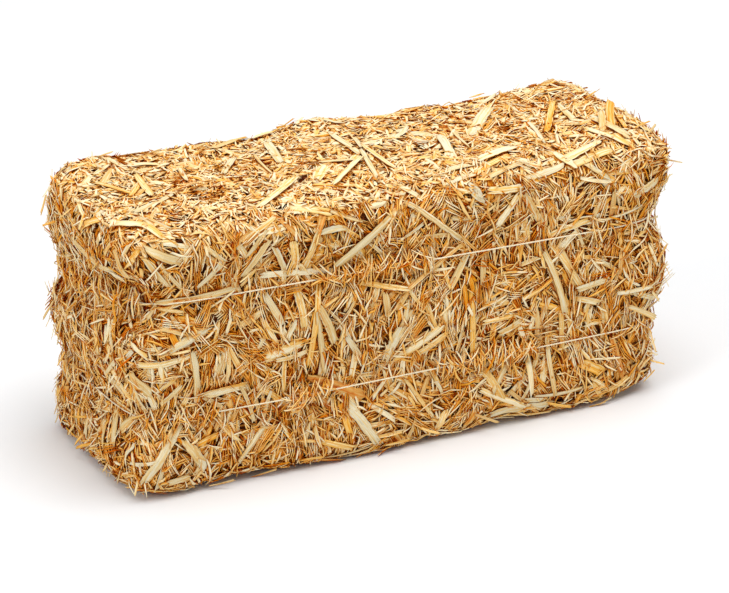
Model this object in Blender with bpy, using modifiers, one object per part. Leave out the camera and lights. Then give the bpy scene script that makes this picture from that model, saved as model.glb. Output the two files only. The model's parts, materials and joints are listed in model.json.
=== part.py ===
"""A decorative straw bale: a pressed block of chopped straw, tied round with two twines.

The bale stands on its flat base. +X runs along its length, +Y from its front to its back and
+Z up, in metres, with the origin at the middle of the base. The block bulges in three
horizontal lobes, one below, one between and one above the two twines, which dig in the most
at its corners. Broad split blades of straw lie loose on its front, top and left end.
"""

from math import cos, exp, hypot, pi, radians, sin

import bmesh
import bpy
from mathutils import Vector, noise
from mathutils.bvhtree import BVHTree
from mathutils.geometry import convex_hull_2d

MM = 0.001
GAP = 0.3 * MM

# The block of straw, and the radii of its edges
LENGTH = 329.0 * MM
DEPTH = 125.5 * MM
HEIGHT = 152.4 * MM
SIDE_ROUND = 13.0 * MM
TOP_ROUND = 14.0 * MM
BASE_ROUND = 8.0 * MM
BASE_ROUND_TO = HEIGHT / 4
BASE_FLAT = 1.5 * MM
CUTS = (21, 8, 12)

# How far the twines press the block in at its ends, faces and corners
WAIST_WIDTH = 11.0 * MM
WAIST_AT_ENDS = 6.5 * MM
WAIST_AT_FACES = 3.0 * MM
WAIST_AT_CORNERS = 5.0 * MM
CORNER_REACH = 34.0 * MM
FACE_POWER = 8

# Soft unevenness of the pressed straw, and single lumps (hollows where the height is
# negative): x, y, z, reach and height in millimetres
UNEVENNESS = 1.4 * MM
UNEVEN_SCALE = 34.0 * MM
LUMPS = (
    (145, -18, 156, 25, 5.0),
    (-140, 48, 152, 22, 4.5),
    (-164, 62, 150, 15, -4.0),
    (-2, 56, 150, 20, 3.0),
    (33, 58, 150, 22, -3.5),
    (-45, 58, 150, 18, -3.0),
    (95, 58, 150, 24, -3.0),
    (-20, 10, 152, 30, 1.5),
    (8, -60, 146, 19, -6.5),
    (86, -60, 147, 20, -5.0),
    (44, -63, 120, 13, -3.0),
    (44, -63, 80, 12, -2.5),
    (-46, -63, 74, 12, -2.5),
    (-105, -63, 85, 11, -2.0),
    (-104, -63, 2, 24, -3.0),
    (55, -63, 2, 16, -3.0),
    (-163, -61, 2, 16, -5.0),
    (163, -61, 6, 26, -9.0),
    (163, 61, 6, 22, -6.0),
    (-163, 61, 6, 20, -4.0),
)

# The twines: the heights they pass the corners at, which are front left, front right, back
# left and back right, and how far along the length their knots are
TWINE_RADIUS = 0.4 * MM
TWINE_GAP = 0.7 * MM
TWINE_RAYS = 720
TWINE_BEND = 3.0
TWINE_STEP = 30.0 * MM
LOWER_CORNERS = (46.0 * MM, 44.0 * MM, 43.0 * MM, 42.0 * MM)
UPPER_CORNERS = (113.0 * MM, 106.0 * MM, 95.0 * MM, 107.0 * MM)
LOWER_KNOT = -74.0 * MM
UPPER_KNOT = 38.0 * MM

# The knot: each end turns round the other end's string, then sticks out as a short tail
KNOT_TURN = TWINE_RADIUS * 2 + 0.25 * MM
KNOT_CORE = 1.0 * MM
KNOT_PITCH = 1.2 * MM
KNOT_TURNS = 1.5
KNOT_STEPS = 8
KNOT_LIFT = 1.1 * MM
KNOT_REACH = 9.0 * MM
TAIL_LENGTH = 6.0 * MM
TAIL_ALONG = 0.6
TAIL_OUT = 0.5
TAIL_DROOP = 0.35

# The loose blades: face, places along and up the face, length, turn from the horizontal in
# degrees, width and tone, with lengths in millimetres
BLADE_THICKNESS = 0.45 * MM
BLADE_SPAN = 6.0 * MM
BLADE_SAMPLES = 4
BLADE_CUP = 0.12
BLADE_NARROWING = 0.45
BLADE_TAPER_POWER = 5
BLADES = (
    ("front", -149, 26, 38, 53, 4.4, "cream"),
    ("front", -129, 24, 18, -60, 5.4, "pale"),
    ("front", -128, 62, 42, -86, 3.6, "cream"),
    ("front", -134, 90, 32, 20, 5.0, "pale"),
    ("front", -112, 58, 25, 3, 4.4, "pale"),
    ("front", -118, 126, 21, 45, 2.8, "cream"),
    ("front", -93, 129, 24, 50, 3.4, "cream"),
    ("front", -77, 74, 24, 12, 6.4, "cream"),
    ("front", -68, 116, 44, -8, 3.4, "pale"),
    ("front", -70, 127, 17, -82, 4.4, "pale"),
    ("front", -67, 98, 26, -82, 4.2, "cream"),
    ("front", -59, 84, 46, 82, 3.2, "cream"),
    ("front", -51, 83, 25, -66, 4.6, "gold"),
    ("front", -45, 45, 36, -26, 6.6, "gold"),
    ("front", -31, 23, 36, -57, 5.4, "pale"),
    ("front", -24, 130, 50, 31, 4.6, "gold"),
    ("front", -18, 100, 30, -17, 2.8, "cream"),
    ("front", -12, 65, 21, 62, 5.0, "cream"),
    ("front", 3, 61, 34, 28, 4.2, "gold"),
    ("front", 13, 132, 44, -42, 2.8, "pale"),
    ("front", 56, 66, 24, 2, 2.8, "pale"),
    ("front", 58, 129, 21, 50, 3.8, "cream"),
    ("front", 57, 142, 22, -6, 3.8, "pale"),
    ("front", 56, 18, 32, -31, 3.4, "cream"),
    ("front", 68, 9, 38, -3, 4.0, "gold"),
    ("front", 75, 125, 26, -60, 4.0, "cream"),
    ("front", 96, 89, 38, -58, 3.6, "cream"),
    ("front", 88, 82, 40, -72, 3.2, "cream"),
    ("front", 118, 113, 50, 4, 1.2, "pale"),
    ("front", 111, 76, 20, 6, 3.4, "pale"),
    ("front", 145, 127, 18, 22, 4.2, "gold"),
    ("front", 146, 62, 18, -24, 3.4, "cream"),
    ("front", -144, 81, 38, 2, 3.4, "pale"),
    ("front", -94, 25, 30, 50, 2.8, "gold"),
    ("front", -46, 12, 20, -23, 3.4, "pale"),
    ("front", -61, 127, 22, 69, 3.4, "cream"),
    ("front", 12, 60, 19, 31, 3.4, "cream"),
    ("front", 139, 67, 24, -1, 2.2, "pale"),
    ("front", 12, 104, 42, 29, 1.8, "cream"),
    ("left end", 42, 62, 32, -32, 4.2, "cream"),
    ("left end", 32, 90, 15, -86, 2.8, "pale"),
    ("left end", -2, 60, 28, -80, 2.8, "cream"),
    ("left end", 46, 134, 24, -48, 3.4, "cream"),
    ("left end", 6, 143, 24, 34, 3.4, "cream"),
    ("left end", 35, 121, 18, 5, 3.4, "pale"),
    ("top", -132, -20, 34, 30, 3.8, "pale"),
    ("top", -130, 6, 28, 53, 2.8, "gold"),
    ("top", -67, -36, 42, 38, 4.4, "cream"),
    ("top", -20, -24, 40, 41, 2.8, "cream"),
    ("top", 64, -36, 26, 15, 5.0, "pale"),
    ("top", 78, 10, 42, 47, 6.6, "cream"),
    ("top", 117, -2, 50, 57, 3.4, "gold"),
    ("top", 111, -50, 28, 15, 5.0, "pale"),
    ("top", 136, -34, 32, -78, 3.8, "cream"),
    ("top", -141, 8, 28, -62, 2.2, "gold"),
    ("top", -74, 11, 22, 51, 3.4, "pale"),
    ("top", 40, 6, 15, -51, 4.0, "pale"),
)
TONES = {
    "pale": (0.76, 0.60, 0.34),
    "cream": (0.66, 0.45, 0.20),
    "gold": (0.56, 0.32, 0.09),
}

# Each face's middle bottom, its directions along and up, and its outward direction
FACES = {
    "front": ((0.0, -DEPTH / 2, 0.0), (1, 0, 0), (0, 0, 1), (0, -1, 0)),
    "left end": ((-LENGTH / 2, 0.0, 0.0), (0, -1, 0), (0, 0, 1), (-1, 0, 0)),
    "top": ((0.0, 0.0, HEIGHT), (1, 0, 0), (0, 1, 0), (0, 0, 1)),
}
REACH_OUT = 60.0 * MM


def clear_scene():
    for old in list(bpy.data.objects):
        bpy.data.objects.remove(old)


def new_collection(name):
    made = bpy.data.collections.new(name)
    bpy.context.scene.collection.children.link(made)
    return made


def principled(name, colour, roughness):
    made = bpy.data.materials.new(name)
    made.use_nodes = True
    shader = made.node_tree.nodes["Principled BSDF"]
    shader.inputs["Base Color"].default_value = (*colour, 1.0)
    shader.inputs["Roughness"].default_value = roughness
    shader.inputs["Metallic"].default_value = 0.0
    return made


def blend(low, high, share):
    share = min(max(share, 0.0), 1.0)
    return low + (high - low) * share


def bell(distance, reach):
    return exp(-((distance / reach) ** 2))


def level(corners, x, y):
    """A twine's height over this place, between its heights at the four corners."""
    front_left, front_right, back_left, back_right = corners
    along = x / LENGTH + 0.5
    front = blend(front_left, front_right, along)
    back = blend(back_left, back_right, along)
    return blend(front, back, y / DEPTH + 0.5)


def edge_round(z):
    """The radius of the block's edges at this height: tight at the base, wide at the top."""
    if z < HEIGHT / 2:
        return blend(BASE_ROUND, SIDE_ROUND, z / BASE_ROUND_TO)
    return blend(SIDE_ROUND, TOP_ROUND, (z - HEIGHT / 2) / (HEIGHT / 2))


def round_off(point):
    """Pulls a point of the plain box in, to one radius from the box's core."""
    radius = edge_round(point.z)
    middle = Vector((0.0, 0.0, HEIGHT / 2))
    core = Vector((LENGTH / 2 - radius, DEPTH / 2 - radius, HEIGHT / 2 - radius))
    offset = point - middle
    nearest = Vector([min(max(offset[i], -core[i]), core[i]) for i in range(3)])
    return middle + nearest + (offset - nearest).normalized() * radius


def pinch(point):
    """Draws the sides in at the two twines, the most at the four corners."""
    levels = [level(corners, point.x, point.y) for corners in (LOWER_CORNERS, UPPER_CORNERS)]
    squeeze = sum(bell(point.z - z, WAIST_WIDTH) for z in levels)
    corner = hypot(LENGTH / 2 - abs(point.x), DEPTH / 2 - abs(point.y))
    tuck = WAIST_AT_CORNERS * blend(1.0, 0.0, corner / CORNER_REACH)
    x_in = tuck + WAIST_AT_ENDS * (abs(point.x) / (LENGTH / 2)) ** FACE_POWER
    y_in = tuck + WAIST_AT_FACES * (abs(point.y) / (DEPTH / 2)) ** FACE_POWER
    point.x -= squeeze * (x_in if point.x > 0 else -x_in)
    point.y -= squeeze * (y_in if point.y > 0 else -y_in)


def swell(point, normal):
    """Where a point of the surface lies once the lumps, hollows and unevenness are added."""
    rise = UNEVENNESS * noise.noise(point / UNEVEN_SCALE)
    for x, y, z, reach, height in LUMPS:
        away = (point - Vector((x, y, z)) * MM).length
        rise += height * MM * bell(away, reach * MM)
    return point + normal * rise


def slice_box(mesh):
    """Cuts the box into a grid along X, Y and Z."""
    for axis, cuts in enumerate(CUTS):
        along = [
            edge
            for edge in mesh.edges
            if abs((edge.verts[0].co - edge.verts[1].co).normalized()[axis]) > 0.9
        ]
        bmesh.ops.subdivide_edges(mesh, edges=along, cuts=cuts, use_grid_fill=True)


def flatten_base(mesh):
    """Puts the lowest points on the ground and makes one face of the middle of the base."""
    for corner in mesh.verts:
        if corner.co.z < BASE_FLAT:
            corner.co.z = 0.0
    base = {face for face in mesh.faces if all(v.co.z == 0.0 for v in face.verts)}
    inner = [edge for edge in mesh.edges if set(edge.link_faces) <= base]
    bmesh.ops.dissolve_edges(mesh, edges=inner, use_verts=True)


def make_body(home):
    """The pressed block: a finely cut box that is rounded, pinched and made uneven."""
    mesh = bmesh.new()
    bmesh.ops.create_cube(mesh, size=1.0)
    for corner in mesh.verts:
        corner.co.x *= LENGTH
        corner.co.y *= DEPTH
        corner.co.z = (corner.co.z + 0.5) * HEIGHT
    slice_box(mesh)
    for corner in mesh.verts:
        corner.co = round_off(corner.co)
        pinch(corner.co)
    mesh.normal_update()
    moved = [swell(corner.co, corner.normal) for corner in mesh.verts]
    for corner, place in zip(mesh.verts, moved):
        corner.co = place
    flatten_base(mesh)
    data = bpy.data.meshes.new("straw_body")
    mesh.to_mesh(data)
    mesh.free()
    data.materials.append(principled("pressed straw", (0.52, 0.31, 0.10), 0.85))
    data.shade_smooth()
    made = bpy.data.objects.new("straw_body", data)
    home.objects.link(made)
    return made


def tree_of(item):
    """The object's surface, to measure heights on."""
    graph = bpy.context.evaluated_depsgraph_get()
    return BVHTree.FromObject(item, graph)


def taut_loop(surface, corners):
    """The closed way of a string pulled tight round the block, just clear of it.

    Level rays find the block's outline at the string's height. The string touches only the
    outline's convex hull and spans its hollows.
    """
    outline = []
    for step in range(TWINE_RAYS):
        angle = 2 * pi * step / TWINE_RAYS
        aim = Vector((cos(angle), sin(angle), 0.0))
        scale = 1 / max(abs(aim.x) / (LENGTH / 2), abs(aim.y) / (DEPTH / 2))
        height = level(corners, aim.x * scale, aim.y * scale)
        start = aim * LENGTH + Vector((0.0, 0.0, height))
        outline.append(surface.ray_cast(start, -aim)[0].xy)
    hull = [outline[index] for index in convex_hull_2d(outline)]
    route = []
    for index, place in enumerate(hull):
        before = (place - hull[index - 1]).normalized()
        after = (hull[(index + 1) % len(hull)] - place).normalized()
        ahead = (before + after).normalized()
        outward = Vector((ahead.y, -ahead.x))
        clear = place + outward * (TWINE_RADIUS + TWINE_GAP)
        route.append(Vector((clear.x, clear.y, level(corners, clear.x, clear.y))))
    return route


def thin_out(route):
    """Leaves out the points where the way hardly bends, and fills stretches that are long."""
    kept = [route[0]]
    for index in range(1, len(route) - 1):
        ahead = route[index + 1] - route[index]
        behind = route[index] - kept[-1]
        bend = behind.angle(ahead) if behind.length > 0 else 0.0
        if bend > radians(TWINE_BEND) or behind.length > TWINE_STEP:
            kept.append(route[index])
    return kept + [route[-1]]


def knot_end(at, along, outward, side):
    """One end of a twine, from where it enters the knot to the tip of its tail.

    It leaves the knot's axis, winds round the other end's string and sticks out. side turns
    the second end half a turn from the first, so that the two never meet.
    """
    up = along.cross(outward)
    points = [at - along * KNOT_CORE]
    steps = int(KNOT_TURNS * KNOT_STEPS)
    for step in range(steps + 1):
        turn = side + 2 * pi * step / KNOT_STEPS
        ahead = KNOT_CORE + KNOT_PITCH * step / KNOT_STEPS
        ring = outward * cos(turn) + up * sin(turn)
        points.append(at + along * ahead + ring * KNOT_TURN)
    leave = (points[-1] - points[-2]).normalized()
    away = (leave + along * TAIL_ALONG + outward * TAIL_OUT).normalized()
    points.append(points[-1] + away * TAIL_LENGTH / 2)
    droop = (away - outward * TAIL_DROOP).normalized()
    points.append(points[-1] + droop * TAIL_LENGTH / 2)
    return points


def tied_route(loop, knot_x, outward):
    """The loop opened at the knot on the front or back face, with its ends wound there."""
    count = len(loop)
    sides = [
        index
        for index in range(count)
        if loop[index].dot(outward) > 0
        and (loop[index].x - knot_x) * (loop[(index + 1) % count].x - knot_x) <= 0
    ]
    first = sides[0]
    here = loop[first]
    after = loop[(first + 1) % count]
    share = (knot_x - here.x) / (after.x - here.x)
    at = here.lerp(after, share)
    along = (after - here).normalized()
    middle = at + outward * KNOT_LIFT
    route = [loop[(first + 1 + step) % count] for step in range(count)]
    route = [place for place in route if (place - at).length > KNOT_REACH]
    start = knot_end(middle, -along, outward, 0.0)
    finish = knot_end(middle, along, outward, pi)
    return start[::-1] + thin_out(route) + finish


def make_twine(home, name, loop, knot_x, outward):
    """A twine: one tube from tail tip to tail tip, once round the bale."""
    route = tied_route(loop, knot_x, outward)
    curve = bpy.data.curves.new(name, "CURVE")
    curve.dimensions = "3D"
    curve.bevel_depth = TWINE_RADIUS
    curve.bevel_resolution = 2
    curve.use_fill_caps = True
    spline = curve.splines.new("POLY")
    spline.points.add(len(route) - 1)
    for point, place in zip(spline.points, route):
        point.co = (*place, 1.0)
    curve.materials.append(principled(name, (0.72, 0.66, 0.55), 0.6))
    made = bpy.data.objects.new(name, curve)
    home.objects.link(made)
    return made


def ground_under(surfaces, place, outward):
    """How far what already lies on the face reaches out under this place of it."""
    start = place + outward * REACH_OUT
    found = [surface.ray_cast(start, -outward, 2 * REACH_OUT)[3] for surface in surfaces]
    return REACH_OUT - min([far for far in found if far is not None], default=2 * REACH_OUT)


def resting_heights(samples):
    """A stiff blade's heights at its stations, from the ground's heights all along it.

    Each station clears the ground as far as its neighbours, and the blade spans hollows, so
    that it touches only what sticks out most.
    """
    last = len(samples) - 1
    steps = range(0, last + 1, BLADE_SAMPLES)
    heights = [max(samples[max(i - BLADE_SAMPLES, 0) : i + BLADE_SAMPLES + 1]) for i in steps]
    resting = list(heights)
    for left, low in enumerate(heights):
        for right in range(left + 2, len(heights)):
            for middle in range(left + 1, right):
                chord = blend(low, heights[right], (middle - left) / (right - left))
                resting[middle] = max(resting[middle], chord)
    return resting


def blade_width(share, width):
    """The width along a blade: full in the middle, cut a little narrower at its ends."""
    return width * (1 - BLADE_NARROWING * abs(2 * share - 1) ** BLADE_TAPER_POWER)


def make_blade(home, name, blade, surfaces):
    """A loose blade: a cupped strip laid on whatever is under it, with a wall's thickness."""
    face, along_at, up_at, length, turn, width, tone = blade
    middle, along, up, outward = [Vector(part) for part in FACES[face]]
    centre = middle + along * along_at * MM + up * up_at * MM
    run = along * cos(radians(turn)) + up * sin(radians(turn))
    across = outward.cross(run)
    spans = max(round(length * MM / BLADE_SPAN), 2)
    rows = []
    for sample in range(spans * BLADE_SAMPLES + 1):
        share = sample / (spans * BLADE_SAMPLES)
        spine = centre + run * (share - 0.5) * length * MM
        edge = across * blade_width(share, width * MM) / 2
        rows.append((spine - edge, spine, spine + edge))
    ground = [max(ground_under(surfaces, place, outward) for place in row) for row in rows]
    cup = BLADE_CUP * width * MM
    lift = GAP + BLADE_THICKNESS + cup
    mesh = bmesh.new()
    strip = []
    for row, height in zip(rows[::BLADE_SAMPLES], resting_heights(ground)):
        rises = (height + lift, height + lift - cup, height + lift)
        places = [place + outward * rise for place, rise in zip(row, rises)]
        strip.append([mesh.verts.new(place) for place in places])
    for before, after in zip(strip, strip[1:]):
        for side in range(2):
            corners = (before[side], after[side], after[side + 1], before[side + 1])
            mesh.faces.new(corners)
    data = bpy.data.meshes.new(name)
    mesh.to_mesh(data)
    mesh.free()
    data.materials.append(principled(name, TONES[tone], 0.6))
    made = bpy.data.objects.new(name, data)
    home.objects.link(made)
    wall = made.modifiers.new("wall", "SOLIDIFY")
    wall.thickness = BLADE_THICKNESS
    wall.offset = -1.0
    return made


def make_blades(home, surfaces):
    """Lays the loose blades one after another, each on top of what is already there."""
    counts = {}
    for blade in BLADES:
        face = blade[0]
        counts[face] = counts.get(face, 0) + 1
        name = f"straw_{face.replace(' ', '_')}_{counts[face]:02d}"
        made = make_blade(home, name, blade, surfaces)
        surfaces.append(tree_of(made))


FRONT = Vector((0, -1, 0))
BACK = Vector((0, 1, 0))

clear_scene()
bale = new_collection("straw_bale")
body = make_body(bale)
block = tree_of(body)
lower_loop = taut_loop(block, LOWER_CORNERS)
upper_loop = taut_loop(block, UPPER_CORNERS)
lower = make_twine(bale, "twine_lower", lower_loop, LOWER_KNOT, FRONT)
upper = make_twine(bale, "twine_upper", upper_loop, UPPER_KNOT, BACK)
make_blades(bale, [block, tree_of(lower), tree_of(upper)])
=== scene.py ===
# %% [markdown]
# # A decorative straw bale
#
# A small bale of chopped straw, pressed into a block and tied round with two twines. On a
# bench it comes apart into thousands of short splinters of straw, a few hundred broad split
# blades and two strings, and nothing else. What the eye reads is the heap of crossing
# splinters, pale where they catch the light and deep orange where they shut it out, so
# the lesson is mostly about making very many small shapes at once, as whole arrays.
#
# Everything is in metres. +X runs along the bale, its front faces -Y and +Z is up.

# %% Load the frame
import json

import bpy
import numpy as np
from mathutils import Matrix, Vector
from mathutils.bvhtree import BVHTree
from mathutils.geometry import convex_hull_2d


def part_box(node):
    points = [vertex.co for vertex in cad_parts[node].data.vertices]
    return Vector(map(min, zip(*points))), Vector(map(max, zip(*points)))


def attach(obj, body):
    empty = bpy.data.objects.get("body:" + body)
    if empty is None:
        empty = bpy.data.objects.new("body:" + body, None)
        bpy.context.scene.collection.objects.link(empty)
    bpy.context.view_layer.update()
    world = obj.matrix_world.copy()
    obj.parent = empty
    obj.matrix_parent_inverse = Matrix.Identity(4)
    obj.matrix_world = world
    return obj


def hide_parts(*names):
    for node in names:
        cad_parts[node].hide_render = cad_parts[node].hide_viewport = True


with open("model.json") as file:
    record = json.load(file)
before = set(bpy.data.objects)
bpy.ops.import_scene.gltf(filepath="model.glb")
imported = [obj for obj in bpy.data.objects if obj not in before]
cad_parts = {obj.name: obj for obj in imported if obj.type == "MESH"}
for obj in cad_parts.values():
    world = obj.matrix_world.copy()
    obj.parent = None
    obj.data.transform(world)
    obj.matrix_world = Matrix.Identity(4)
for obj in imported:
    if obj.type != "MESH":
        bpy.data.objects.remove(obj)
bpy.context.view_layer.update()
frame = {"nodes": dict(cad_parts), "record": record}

MM = 0.001
ROOT = "root"
print("frame", sorted(frame["nodes"])[:3], "and", len(frame["nodes"]) - 3, "more nodes")

# %% [markdown]
# ## The camera, the floor and the light
#
# The bale stands on a plain white table under a very soft light from above, the kind that
# a big cloth tent gives, and a smaller lamp lights its left end. A long lens set well back
# keeps its edges almost parallel. The camera turns about the bale's middle: azimuth is
# counted from straight in front and elevation from level, so its place is three products
# of sines and cosines.

# %% Set the camera
LENS, SENSOR = 197.31358, 36.0
DISTANCE = 2.2
AZIMUTH, ELEVATION = np.radians(-26.88), np.radians(22.87)
BLOCK_HEIGHT = 152.4 * MM
SHIFT = (0.0053, -0.0224)

camera_data = bpy.data.cameras.new("camera")
camera_data.lens = LENS
camera_data.sensor_width = SENSOR
camera_data.shift_x, camera_data.shift_y = SHIFT
camera = bpy.data.objects.new("camera", camera_data)
bpy.context.scene.collection.objects.link(camera)
aim = Vector((0, 0, BLOCK_HEIGHT / 2))
toward = Vector((
    np.sin(AZIMUTH) * np.cos(ELEVATION),
    -np.cos(AZIMUTH) * np.cos(ELEVATION),
    np.sin(ELEVATION),
))
camera.location = aim + toward * DISTANCE
camera.rotation_euler = toward.to_track_quat("Z", "Y").to_euler()
bpy.context.scene.camera = camera
print("camera at", [round(x, 3) for x in camera.location], "lens", round(camera_data.lens, 1))

# %% Lay the floor and hang the lights
FLOOR_HALF = 8.0
TOP_LIGHT = (0.3, -0.45, 3.2)
TOP_SIZE = 2.4
TOP_POWER = 97.0
FRONT_LIGHT = (-3.1, -1.1, 2.3)
FRONT_SIZE = 1.3
FRONT_POWER = 42.0
SKY_STRENGTH = 0.51
TABLE_WHITE = (0.78, 0.788, 0.802, 1)
TENT_WHITE = (1, 1, 0.99, 1)


def new_material(name):
    """A material and its Principled shader, the only shader each finish needs."""
    made = bpy.data.materials.new(name)
    made.use_nodes = True
    return made, made.node_tree.nodes["Principled BSDF"]


def new_light(name, place, size, power):
    """A square lamp at this place, turned to face the bale's middle."""
    data = bpy.data.lights.new(name, "AREA")
    data.size = size
    data.energy = power
    lamp = bpy.data.objects.new(name, data)
    lamp.location = place
    lamp.rotation_euler = (Vector(place) - aim).to_track_quat("Z", "Y").to_euler()
    bpy.context.scene.collection.objects.link(lamp)
    return lamp


floor_mesh = bpy.data.meshes.new("floor")
floor_mesh.from_pydata(
    [(x * FLOOR_HALF, y * FLOOR_HALF, 0) for x, y in ((-1, -1), (1, -1), (1, 1), (-1, 1))],
    [],
    [(0, 1, 2, 3)],
)
floor = bpy.data.objects.new("floor", floor_mesh)
bpy.context.scene.collection.objects.link(floor)
floor_finish, floor_shader = new_material("white table")
floor_shader.inputs["Base Color"].default_value = TABLE_WHITE
floor_shader.inputs["Roughness"].default_value = 0.8
floor_mesh.materials.append(floor_finish)

new_light("top_light", TOP_LIGHT, TOP_SIZE, TOP_POWER)
new_light("front_light", FRONT_LIGHT, FRONT_SIZE, FRONT_POWER)
world = bpy.data.worlds.new("tent")
world.use_nodes = True
sky = world.node_tree.nodes["Background"].inputs
sky["Color"].default_value = TENT_WHITE
sky["Strength"].default_value = SKY_STRENGTH
bpy.context.scene.world = world
bpy.context.scene.view_settings.view_transform = "Standard"
bpy.context.scene.view_settings.look = "None"
print("floor", 2 * FLOOR_HALF, "m wide, lights", TOP_POWER, FRONT_POWER, "W")

# %% [markdown]
# ## Knowing the block's surface everywhere
#
# Each straw follows the pressed block, sinks a little under its surface or stands a little
# proud of it. So the straws ask two things of any place: how deep is it, and which way is
# out? A grid of nodes 4 mm apart holds both answers, measured once on the plain CAD block.
# Between the nodes the answer is blended, which also smooths the block's facets away. The
# same grid then answers for a whole layer of straws in one call.

# %% Measure the depth grid
GRID_STEP = 4 * MM
GRID_MARGIN = 5

block = BVHTree.FromObject(frame["nodes"]["straw_body"], bpy.context.evaluated_depsgraph_get())
block_low, block_high = (np.array(corner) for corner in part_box("straw_body"))
grid_low = block_low - GRID_MARGIN * GRID_STEP
grid_size = np.ceil((block_high - block_low) / GRID_STEP).astype(int) + 2 * GRID_MARGIN + 1
axes = [low + GRID_STEP * np.arange(size) for low, size in zip(grid_low, grid_size)]
grid_places = np.stack(np.meshgrid(*axes, indexing="ij"), -1)
hits = [block.find_nearest(place)[:2] for place in grid_places.reshape(-1, 3).tolist()]
nearest, facing = np.array(hits).reshape(-1, 2, 3).transpose(1, 0, 2)
offset = grid_places.reshape(-1, 3) - nearest
side_of = np.where((offset * facing).sum(-1) > 0, -1.0, 1.0)
depth_grid = (side_of * np.linalg.norm(offset, axis=-1)).reshape(grid_size)
slope = -np.stack(np.gradient(depth_grid, GRID_STEP), -1)
field = np.concatenate([depth_grid[..., None], slope], -1)


def unit(vectors):
    """Each vector divided by its own length."""
    return vectors / np.maximum(np.linalg.norm(vectors, axis=-1, keepdims=True), 1e-12)


def measure(places):
    """Depth under the surface and the outward direction at each place.

    Both are blended from the eight grid nodes round the place, each weighted by the product
    of its nearness along X, Y and Z.
    """
    at = np.clip((places - grid_low) / GRID_STEP, 0, grid_size - 1.001)
    cell = at.astype(int)
    share = at - cell
    total = np.zeros(places.shape[:-1] + (4,))
    for corner in np.ndindex(2, 2, 2):
        weight = np.where(corner, share, 1 - share).prod(-1)
        total += weight[..., None] * field[tuple(np.moveaxis(cell + corner, -1, 0))]
    return total[..., 0], unit(total[..., 1:])


print("grid", grid_size, "nodes, deepest", round(depth_grid.max() / MM, 1), "mm")

# %% [markdown]
# Straws are scattered evenly, so a triangle of the block is drawn with a chance equal to its
# share of the area, and then a place inside it. Two random numbers give a place in a
# parallelogram, and the half that falls outside the triangle is folded back in.

# %% Scatter places on the block
BASE_SHARE = 0.35
TOP_BAND = 12 * MM


def solid_points(name):
    """The corners of a CAD solid."""
    corners = frame["nodes"][name].data.vertices
    points = np.empty(len(corners) * 3)
    corners.foreach_get("co", points)
    return points.reshape(-1, 3)


block_mesh = frame["nodes"]["straw_body"].data
block_mesh.calc_loop_triangles()
block_tris = np.empty(len(block_mesh.loop_triangles) * 3, np.int64)
block_mesh.loop_triangles.foreach_get("vertices", block_tris)
block_corners = solid_points("straw_body")[block_tris.reshape(-1, 3)]
first_edges = block_corners[:, 1] - block_corners[:, 0]
second_edges = block_corners[:, 2] - block_corners[:, 0]
block_areas = np.linalg.norm(np.cross(first_edges, second_edges), axis=-1) / 2
block_highs = block_corners[..., 2]
on_base = block_highs.max(-1) < MM
on_top = block_highs.min(-1) > BLOCK_HEIGHT - TOP_BAND
chances = block_areas * np.where(on_base, BASE_SHARE, 1.0)


def scatter(rng, count, top=1.0):
    """Even random places on the block, fewer on the base, where no one looks, and top times
    as many on its top."""
    weights = chances * np.where(on_top, top, 1.0)
    drawn = rng.choice(len(weights), count, p=weights / weights.sum())
    a, b = rng.random((2, count, 1))
    a, b = np.where(a + b > 1, (1 - a, 1 - b), (a, b))
    first, second, third = block_corners[drawn].transpose(1, 0, 2)
    return first + a * (second - first) + b * (third - first)


print("block surface", round(block_areas.sum() * 1e4, 1), "cm2")

# %% [markdown]
# ## Flakes, grooves and hollows
#
# Pressed straw isn't a random heap. It lies in flakes, patches about as big as a fingertip
# in which the straws were combed one way, mostly upright on the sides and lengthways on
# top. A flake is longer along its straws than across them, so a straw belongs to the flake
# whose centre is nearest once distances along that flake's own direction are shortened.

# %% Lay out the flakes
FLAKES = 1500
FLAKE_STRETCH = 0.45
CHUNK = 2000
UPRIGHT, SLANTED, LENGTHWAYS = 0.50, 0.30, 0.55
UPRIGHT_SPREAD, SLANT, SLANT_SPREAD, LENGTHWAYS_SPREAD = 15, 42, 12, 30
FLAKE_SINKS = (-0.1, 0.7)
FLAKE_TONES = 0.04
MOSTLY = 0.7


def tangents(out):
    """Two directions in the surface, one level and one square to it, from the outward one."""
    level = np.where(np.abs(out[..., :1]) > MOSTLY, [[0.0, 1.0, 0.0]], [[1.0, 0.0, 0.0]])
    first = unit(level - (level * out).sum(-1, keepdims=True) * out)
    return first, np.cross(out, first)


def turned(out, angle):
    """The direction in the surface at this angle from level."""
    first, second = tangents(out)
    return first * np.cos(angle)[..., None] + second * np.sin(angle)[..., None]


rng = np.random.default_rng(11)
flake_at = scatter(rng, FLAKES)
flake_out = measure(flake_at)[1]
draw = rng.random(FLAKES)
loose = rng.uniform(0, np.pi, FLAKES)
upright = np.radians(rng.normal(90, UPRIGHT_SPREAD, FLAKES))
slants = rng.choice((-1, 1), FLAKES) * rng.normal(SLANT, SLANT_SPREAD, FLAKES)
slanted = np.radians(90 + slants)
lengthways = np.radians(rng.normal(0, LENGTHWAYS_SPREAD, FLAKES))
leaning = np.where(draw < UPRIGHT + SLANTED, slanted, loose)
side_angle = np.where(draw < UPRIGHT, upright, leaning)
top_angle = np.where(draw < LENGTHWAYS, lengthways, loose)
flake_angle = np.where(np.abs(flake_out[:, 2]) > MOSTLY, top_angle, side_angle)
flake_along = turned(flake_out, flake_angle)
flake_sink = rng.uniform(*FLAKE_SINKS, FLAKES) * MM
flake_tone = rng.normal(0, FLAKE_TONES, FLAKES)


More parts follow.
